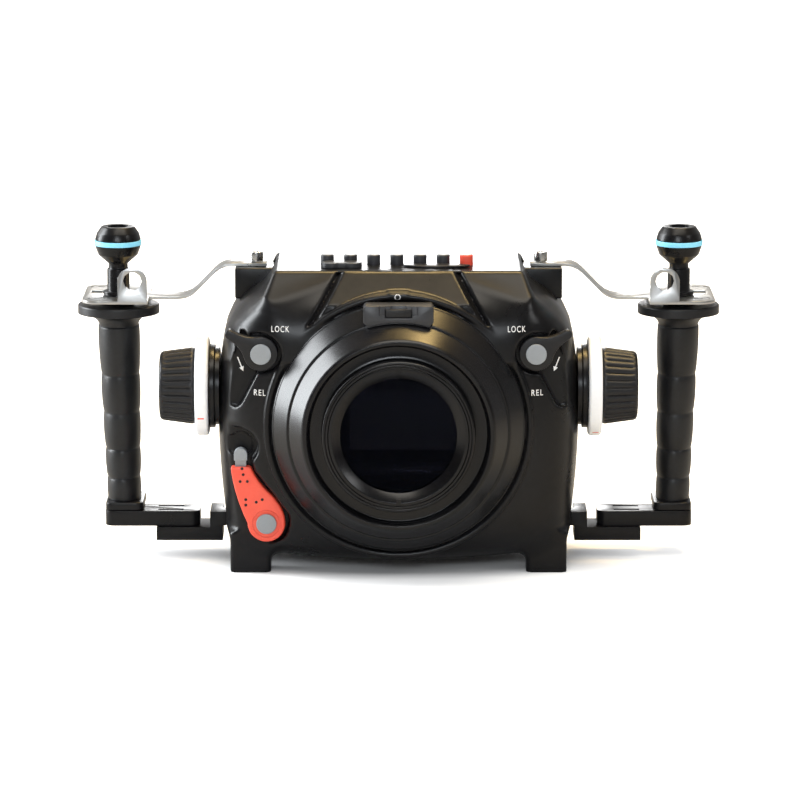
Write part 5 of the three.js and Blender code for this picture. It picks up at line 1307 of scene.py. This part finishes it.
def grip(side, name, material):
    """A moulded hand grip: an oval column with a swelling for each finger, flaring into its disc."""
    rings = []
    turn = np.arange(96) * 2 * math.pi / 96
    front = np.maximum(0, -np.sin(turn))
    across = GRIP_SIDE_BULGE_SHARE + (1 - GRIP_SIDE_BULGE_SHARE) * front
    along = GRIP_BACK_BULGE_SHARE + (1 - GRIP_BACK_BULGE_SHARE) * front
    ends = (GRIP_FOOT_Z, GRIP_TOP_Z)
    for z in np.linspace(*ends, GRIP_LEVELS):
        swell = GRIP_BULGE * grip_swell(z)
        half_x, half_y = np.interp(z, ends, GRIP_HALF_X), np.interp(z, ends, GRIP_HALF_Y)
        x = side * np.interp(z, ends, GRIP_MIDDLE_X) + np.cos(turn) * (half_x + swell * across)
        y = np.interp(z, ends, GRIP_MIDDLE_Y) + np.sin(turn) * (half_y + swell * along)
        rings.append(np.stack([x, y, np.full_like(x, z)], 1))
    for rise in np.linspace(0, 1, 14)[1:]:
        flare = 1 - math.sqrt(max(0, 1 - rise**2))
        x = side * GRIP_X + np.cos(turn) * (half_x + (GRIP_DISC_RADIUS - half_x) * flare)
        y = np.sin(turn) * (half_y + (GRIP_DISC_RADIUS - half_y) * flare)
        z = GRIP_TOP_Z + (GRIP_DISC_Z - GRIP_TOP_Z) * rise
        rings.append(np.stack([x, y, np.full_like(x, z)], 1))
    top = GRIP_DISC_Z + GRIP_DISC_THICKNESS
    rim = [(GRIP_DISC_RADIUS, GRIP_DISC_Z), (GRIP_DISC_RADIUS, top), (SPIGOT_RADIUS, top)]
    rim += [(SPIGOT_RADIUS, SPIGOT_TOP_Z), (SPIGOT_BORE_RADIUS, SPIGOT_TOP_Z)]
    for radius, z in rounded(rim, GRIP_DISC_CORNER, 5)[1:] + [(SPIGOT_BORE_RADIUS, SPIGOT_BORE_Z)]:
        x = side * GRIP_X + np.cos(turn) * radius
        rings.append(np.stack([x, np.sin(turn) * radius, np.full_like(x, z)], 1))
    column = smooth(loft(name + "_column", rings), 50)
    finish_piece(column, "housing", "grip_rubber", material, name)


def knob(side, name, body, material):
    """A tapered knob with rounded ribs all round."""
    turn = np.linspace(0, 2 * math.pi, KNOB_RIBS * 10 + 1)[:-1]
    rib = np.abs(np.cos(turn * KNOB_RIBS / 2)) ** RIB_POWER
    outline = [(KNOB_BORE, KNOB_BASE_X), (KNOB_BASE_RADIUS, KNOB_BASE_X)]
    outline += [(KNOB_TIP_RADIUS, KNOB_TIP_X), (KNOB_BORE, KNOB_TIP_X)]
    ends = rounded(outline, KNOB_CORNER, 8)
    middle = len(ends) // 2
    flank = [tuple(p) for p in np.linspace(ends[middle - 1], ends[middle], 24)[1:-1]]
    rings = []
    for radius, x in ends[:middle] + flank + ends[middle:]:
        from_base = (x - KNOB_BASE_X - RIB_BASE_GAP) / RIB_BASE_RUN
        from_tip = (KNOB_TIP_X - RIB_TIP_GAP - x) / RIB_TIP_RUN
        depth = RIB_DEPTH * min(1, max(0, min(from_base, from_tip)))
        reach = radius - depth * (1 - rib)
        y = KNOB_Y + np.cos(turn) * reach
        rings.append(np.stack([np.full_like(y, side * x), y, KNOB_Z + np.sin(turn) * reach], 1))
    piece = smooth(loft(name + "_ribbed", rings), 50)
    finish_piece(piece, body, "black_plastic", material, name)


def disc_mark(side, name, body, angle, material):
    """A red line across the rim of a knob's disc, at an angle below its front."""
    rings = []
    for radius in (DISC_RADIUS + PRINT_PROUD, DISC_RADIUS - PRINT_DEPTH):
        ring = []
        for along, across in ((-1, -1), (1, -1), (1, 1), (-1, 1)):
            turned = math.radians(angle) + across * DISC_MARK_HALF_WIDTH / DISC_RADIUS
            y, z = KNOB_Y - radius * math.cos(turned), KNOB_Z - radius * math.sin(turned)
            ring.append((side * (DISC_MARK_X + along * DISC_MARK_HALF_LENGTH), y, z))
        rings.append(ring)
    finish_piece(loft(name + "_index", rings), body, "red_plastic", material)


def surface_of(obj):
    """The surface of a finished piece, to lay marks on."""
    mesh = obj.data
    return BVHTree.FromPolygons([v.co for v in mesh.vertices], [p.vertices for p in mesh.polygons])


def laid(obj, surface, middle_y):
    """Lays a flat mark, seen from the front, on the surface that lies behind it."""
    for vertex in obj.data.vertices:
        start = Vector((vertex.co.x, -1, vertex.co.z))
        depth = surface.ray_cast(start, Vector((0, 1, 0)))[0].y
        front = vertex.co.y < middle_y
        vertex.co.y = depth + (-PRINT_PROUD if front else PRINT_DEPTH) * MM
    return outward(obj)


def printed_word(word, name, place_and_size, material, surface):
    """A word printed on the shell, its middle and its size given in X and Z."""
    x, z, width, height = place_and_size
    letters = bpy.data.curves.new(name, "FONT")
    letters.body = word
    letters.extrude = 1
    letters.space_character = LETTER_SPACING
    holder = placed(name + "_letters", letters)
    bpy.context.view_layer.update()
    mesh = bpy.data.meshes.new_from_object(holder.evaluated_get(bpy.context.evaluated_depsgraph_get()))
    bpy.data.objects.remove(holder)
    points = np.array([v.co for v in mesh.vertices])
    low, high = points.min(0), points.max(0)
    spread = (points - (low + high) / 2) / (high - low)
    flat = place(np.stack([x + spread[:, 0] * width, -spread[:, 2], z + spread[:, 1] * height], 1))
    for vertex, point in zip(mesh.vertices, flat):
        vertex.co = point
    obj = laid(placed(name, mesh), surface, place([(0, 0, 0)])[0][1])
    finish_piece(obj, "housing", "white_plastic", material)


def arrow(side, name, material):
    """The arrow on the floor of the wedge, from LOCK to REL."""
    start, end = Vector(ARROW[0]), Vector(ARROW[1])
    on = (end - start).normalized()
    across = Vector((-on.y, on.x))
    neck = end - on * ARROW_HEAD_LENGTH
    line, wing = across * ARROW_LINE_HALF, across * ARROW_HEAD_HALF
    points = [start - line, neck - line, neck - wing, end, neck + wing, neck + line, start + line]
    outline = [(-side * x, z) for x, z in points]
    mark = plate(name, outline, Y_AXIS, WEDGE_FLOOR_Y - PRINT_PROUD, WEDGE_FLOOR_Y + PRINT_DEPTH)
    finish_piece(mark, "housing", "white_plastic", material)


def printed_marks(material, surface):
    """LOCK, REL and an arrow beside each latch, and the ring above the port's index."""
    for side, word in ((-1, "left"), (1, "right")):
        for text, label, spot in (("LOCK", "_lock_word", LOCK_WORD), ("REL", "_free_word", FREE_WORD)):
            x, z, width, height = spot
            printed_word(text, word + label, (-side * x, z, width, height), material, surface)
        arrow(side, word + "_arrow", material)
    inner, outer = INDEX_RING_INNER, INDEX_RING_OUTER
    profile = [(inner, -1), (outer, -1), (outer, 1), (inner, 1)]
    ring = spun("index_ring", profile, Y_AXIS, INDEX_RING, 32, True)
    laid(ring, surface, place([(0, 0, 0)])[0][1])
    finish_piece(ring, "housing", "white_plastic", material)


def stud_tree():
    """Geometry nodes: a short round stud, its axis along Y, on each point of a mesh."""
    tree = bpy.data.node_groups.new("studs", "GeometryNodeTree")
    kinds = (("Geometry", "Geometry"), ("Radius", "Float"), ("Height", "Float"), ("Finish", "Material"))
    for label, kind in kinds:
        tree.interface.new_socket(label, in_out="INPUT", socket_type="NodeSocket" + kind)
    tree.interface.new_socket("Geometry", in_out="OUTPUT", socket_type="NodeSocketGeometry")
    entry, leave = tree.nodes.new("NodeGroupInput"), tree.nodes.new("NodeGroupOutput")
    given = entry.outputs
    inputs = {"Vertices": STUD_SIDES, "Radius": given["Radius"], "Depth": given["Height"]}
    stud = add_node(tree, "GeometryNodeMeshCylinder", inputs)
    inputs = {"Rotation": (math.pi / 2, 0, 0), "Geometry": stud.outputs["Mesh"]}
    turned = add_node(tree, "GeometryNodeTransform", inputs)
    inputs = {"Points": given["Geometry"], "Instance": turned.outputs["Geometry"]}
    spread = add_node(tree, "GeometryNodeInstanceOnPoints", inputs)
    real = add_node(tree, "GeometryNodeRealizeInstances", {"Geometry": spread.outputs["Instances"]})
    inputs = {"Geometry": real.outputs["Geometry"], "Material": given["Finish"]}
    painted = add_node(tree, "GeometryNodeSetMaterial", inputs)
    feed(tree, leave, {"Geometry": painted.outputs["Geometry"]})
    return tree


STUDS = stud_tree()


def studs(name, points, radius, height, material):
    """Studs of one size on points in millimetres, as a plain mesh."""
    obj = new_object(name, points, [])
    modifier = obj.modifiers.new("studs", "NODES")
    modifier.node_group = STUDS
    sockets = {s.name: s.identifier for s in STUDS.interface.items_tree if s.in_out == "INPUT"}
    modifier[sockets["Radius"]] = radius * MM
    modifier[sockets["Height"]] = height * MM
    modifier[sockets["Finish"]] = material
    return smooth(baked(obj), 40)


def lever_dots(material):
    """The eight small dots on the port lock lever."""
    front_y = LOCK_FLOOR_Y - SEAT_GAP - LOCK_THICKNESS
    height = PRINT_PROUD + PRINT_DEPTH
    middle_y = front_y - PRINT_PROUD + height / 2
    points = [(x, middle_y, z) for x, z in LEVER_DOTS]
    dots = studs("lever_dots", points, DOT_RADIUS, height, material)
    finish_piece(dots, "port_lock", "black_plastic", material)


def brace(side, name, material):
    """A pressed steel brace with the slot and the hole in each rail of its plate."""
    piece = softened(name, 2)
    cuts = []
    for hole_x, rail_y, slot_low, slot_high, half in BRACE_CUTS:
        ends = [(slot_low, rail_y), (slot_high, rail_y)]
        outline = arc(ends[1], half, -90, 90, 8) + arc(ends[0], half, 90, 270, 8)
        outline = [(side * x, y) for x, y in outline]
        cuts.append(plate("slot", outline, Z_AXIS, BRACE_LOW_Z, BRACE_HIGH_Z))
        ends = [(side * hole_x, rail_y, z) for z in (BRACE_LOW_Z, BRACE_HIGH_Z)]
        cuts.append(rod("hole", BRACE_HOLE_RADIUS, *ends, Z_AXIS, 24))
    finish_piece(smooth(boolean(piece, "DIFFERENCE", *cuts), 40), "housing", "stainless", material, name)


def ball_mount(name, material):
    """A mounting ball with the hollow in its flat top, in which its screw's socket lies."""
    ball = respun(name, Z_AXIS)
    low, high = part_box(name)
    x, top = (low.x + high.x) / 2 / MM, high.z / MM
    hollow = rod("hollow", HOLLOW_RADIUS, (x, 0, top - HOLLOW_DEPTH), (x, 0, top + 2), Z_AXIS, 64)
    socket = rod("socket", SOCKET_RADIUS, (x, 0, top - SOCKET_DEPTH), (x, 0, top), Z_AXIS, 6)
    smooth(boolean(ball, "DIFFERENCE", hollow, socket), 40)
    finish_piece(ball, "housing", "black_anodised", material, name)


def make_finishes():
    """Every finish by its name; the port's glass is tinted nearly black as painted shade, standing for the
    dark inside of the housing seen through it.
    """
    finishes = {name: finish(name, *values[:-1], **values[-1]) for name, values in FINISHES.items()}
    for name, values in CLEAR_FINISHES.items():
        finishes[name] = glass_finish(name, *values)
    return finishes


def side_pieces(side, word, finishes):
    """Latch, grip, knob, ball, brace and bracket of one side."""
    black, steel, plastic = (finishes[n] for n in ("black_anodised", "turned_steel", "black_plastic"))
    control = word + "_control"
    latch(side, word + "_latch", word + "_latch", plastic, finishes["grey_plastic"])
    grip(side, word + "_grip", finishes["grip_rubber"])
    knob(side, word + "_knob", control, plastic)
    disc = word + "_knob_disc"
    dressed_round(disc, control, "white_plastic", finishes["white_plastic"], X_AXIS, 160)
    dressed_round(word + "_gland", "housing", "black_anodised", black, X_AXIS, 120)
    ball_mount(word + "_ball_mount", black)
    dressed_round(word + "_ball_band", "housing", "band_rubber", finishes["band_rubber"], Z_AXIS)
    dressed_round(word + "_brace_bolt", "housing", "stainless", steel, Z_AXIS, 64)
    for part in ("_pillar", "_bracket", "_arm", "_grip_base"):
        dressed(word + part, "housing", "black_anodised", black)
    brace(side, word + "_brace", finishes["brushed_steel"])
    disc_mark(side, disc, control, DISC_MARK_ANGLES[side > 0], finishes["red_plastic"])
    dressed(word + "_drive_shaft", control, "stainless", steel, 1)
    dressed(word + "_idler_gear", word + "_idler", "brass", finishes["brass"], 1)


def make_pieces():
    finishes = make_finishes()
    black, turned, steel = (finishes[n] for n in ("black_anodised", "black_turned", "turned_steel"))
    plastic, button, red = (finishes[n] for n in ("black_plastic", "button_plastic", "red_plastic"))
    printed_marks(finishes["white_print"], surface_of(front_shell(black)))
    port_barrel(turned)
    retaining_ring(turned)
    # The index block takes the lighter button plastic as a painted sheen; its pad keeps the black plastic.
    index_block(button, plastic)
    dressed_round("port_glass", "port", "port_glass", finishes["port_glass"], Y_AXIS, 180)
    dressed_round("port_mount_ring", "housing", "stainless", steel, Y_AXIS, 180)
    port_lock(red, finishes["grey_plastic"])
    lever_dots(plastic)
    side_pieces(-1, "left", finishes)
    side_pieces(1, "right", finishes)
    for number in range(1, 8):
        slot = "red_plastic" if number == 7 else "button_plastic"
        dressed_round(f"top_button_{number}", f"button_{number}", slot, finishes[slot], Z_AXIS, 48)
    for number in range(1, 5):
        body = f"cover_button_{number}"
        dressed_round(f"rear_button_{number}", body, "button_plastic", button, Y_AXIS, 48)
    dressed("rear_dial", "cover_dial", "button_plastic", button, 2)
    dressed("top_lever", "deck_lever", "button_plastic", button)
    dressed("deck_plaque", "housing", "black_plastic", plastic)
    dressed("camera_tray", "housing", "black_anodised", black)
    dressed("tray_screw", "housing", "stainless", steel)
    dressed("main_o_ring", "housing", "seal_rubber", finishes["seal_rubber"])
    dressed("rear_cover", "cover", "black_anodised", black)
    dressed("rear_window", "cover", "window_acrylic", finishes["window_acrylic"])


# Camera, floor and lights
def make_camera():
    data = bpy.data.cameras.new("camera")
    data.sensor_width = SENSOR_WIDTH
    data.lens = CAMERA_LENS
    data.clip_start, data.clip_end = CAMERA_CLIP
    camera = placed("camera", data)
    back = Vector((0, -math.cos(CAMERA_ELEVATION), math.sin(CAMERA_ELEVATION)))
    target = Vector(place([CAMERA_TARGET])[0])
    camera.location = target + back * CAMERA_DISTANCE * MM
    camera.rotation_euler = (-back).to_track_quat("-Z", "Y").to_euler()
    bpy.context.scene.camera = camera


def make_floor():
    """A pale floor that glows for the camera, with a painted shadow where the glow is weak under and near
    the housing, and painted shade that makes it less white in reflections.
    """
    half = FLOOR_SIZE / 2
    corners = [(-half, -half, 0), (half, -half, 0), (half, half, 0), (-half, half, 0)]
    floor = new_object("floor", corners, [(0, 1, 2, 3)])
    material = bpy.data.materials.new("floor")
    material.use_nodes = True
    tree = material.node_tree
    tree.nodes.clear()
    coordinates = tree.nodes.new("ShaderNodeTexCoord").outputs["Object"]
    middle = (FLANGE_Y + FRONT_FOOT_Y) / 2 * MM + BALL_PLANE_Y
    half_depth = (FLANGE_Y - FRONT_FOOT_Y) / 2 * MM
    inputs = {"Location": (0, middle, 0), "Scale": (FOOT_OUTER_X * MM, half_depth, 1)}
    inputs["Vector"] = coordinates
    centred = add_node(tree, "ShaderNodeMapping", inputs, vector_type="TEXTURE")
    distance = vector_node(tree, "LENGTH", {0: centred.outputs["Vector"]}).outputs["Value"]
    # Painted shadow: the glow is taken away under and near the housing, and rises slowly to its far value.
    near = range_node(tree, distance, PAINTED_SHADOW_EDGE, (0, FLOOR_GLOW_NEAR))
    far = range_node(tree, distance, PAINTED_SHADE_REACH, (0, FLOOR_GLOW_FAR - FLOOR_GLOW_NEAR))
    share = math_node(tree, "ADD", near, far)
    path = tree.nodes.new("ShaderNodeLightPath")
    # Painted shade: the floor is less white in reflections than it is under the lamps.
    white = range_node(tree, path.outputs["Is Glossy Ray"], (0, 1), (FLOOR_WHITE, FLOOR_PAINTED_DIM_IN_GLOSS))
    diffuse = add_node(tree, "ShaderNodeBsdfDiffuse", {"Color": white})
    strength = math_node(tree, "MULTIPLY", path.outputs["Is Camera Ray"], share)
    glow = add_node(tree, "ShaderNodeEmission", {"Strength": strength})
    both = add_node(tree, "ShaderNodeAddShader", {0: diffuse.outputs[0], 1: glow.outputs[0]})
    add_node(tree, "ShaderNodeOutputMaterial", {"Surface": both.outputs[0]})
    floor.data.materials.append(material)


def make_world():
    """A white room, which shows darker in gloss towards the camera, as a studio does."""
    world = bpy.data.worlds.new("studio")
    bpy.context.scene.world = world
    world.use_nodes = True
    tree = world.node_tree
    background = tree.nodes["Background"]
    path = tree.nodes.new("ShaderNodeLightPath")
    coordinates = tree.nodes.new("ShaderNodeTexCoord").outputs["Generated"]
    y = add_node(tree, "ShaderNodeSeparateXYZ", {0: coordinates}).outputs["Y"]
    ends = (GLOSS_FRONT - WORLD_LIGHT, GLOSS_BACK - WORLD_LIGHT)
    graded = range_node(tree, y, GLOSS_GRADED_Y, ends, interpolation_type="SMOOTHSTEP")
    gloss = math_node(tree, "MULTIPLY", path.outputs["Is Glossy Ray"], graded)
    seen = math_node(tree, "ADD", path.outputs["Is Camera Ray"], path.outputs["Is Transmission Ray"])
    white = math_node(tree, "MULTIPLY", seen, 1 - WORLD_LIGHT)
    strength = math_node(tree, "ADD", math_node(tree, "ADD", white, gloss), WORLD_LIGHT)
    feed(tree, background, {"Strength": strength, "Color": (1, 1, 1, 1)})


def softbox(name, position, size, power, colour):
    """A soft lamp at a place in metres, turned to the middle of the housing."""
    data = bpy.data.lights.new(name, "AREA")
    data.shape = "RECTANGLE"
    data.size, data.size_y = size
    data.energy = power
    data.color = colour
    lamp = placed(name, data)
    lamp.location = position
    aim = Vector(place([CAMERA_TARGET])[0]) - lamp.location
    lamp.rotation_euler = aim.to_track_quat("-Z", "Y").to_euler()
    lamp.visible_camera = False


def make_lights():
    for lamp in LAMPS:
        softbox(*lamp)


make_camera()
make_floor()
make_world()
make_lights()

make_pieces()

bpy.context.scene.view_settings.view_transform = "Standard"
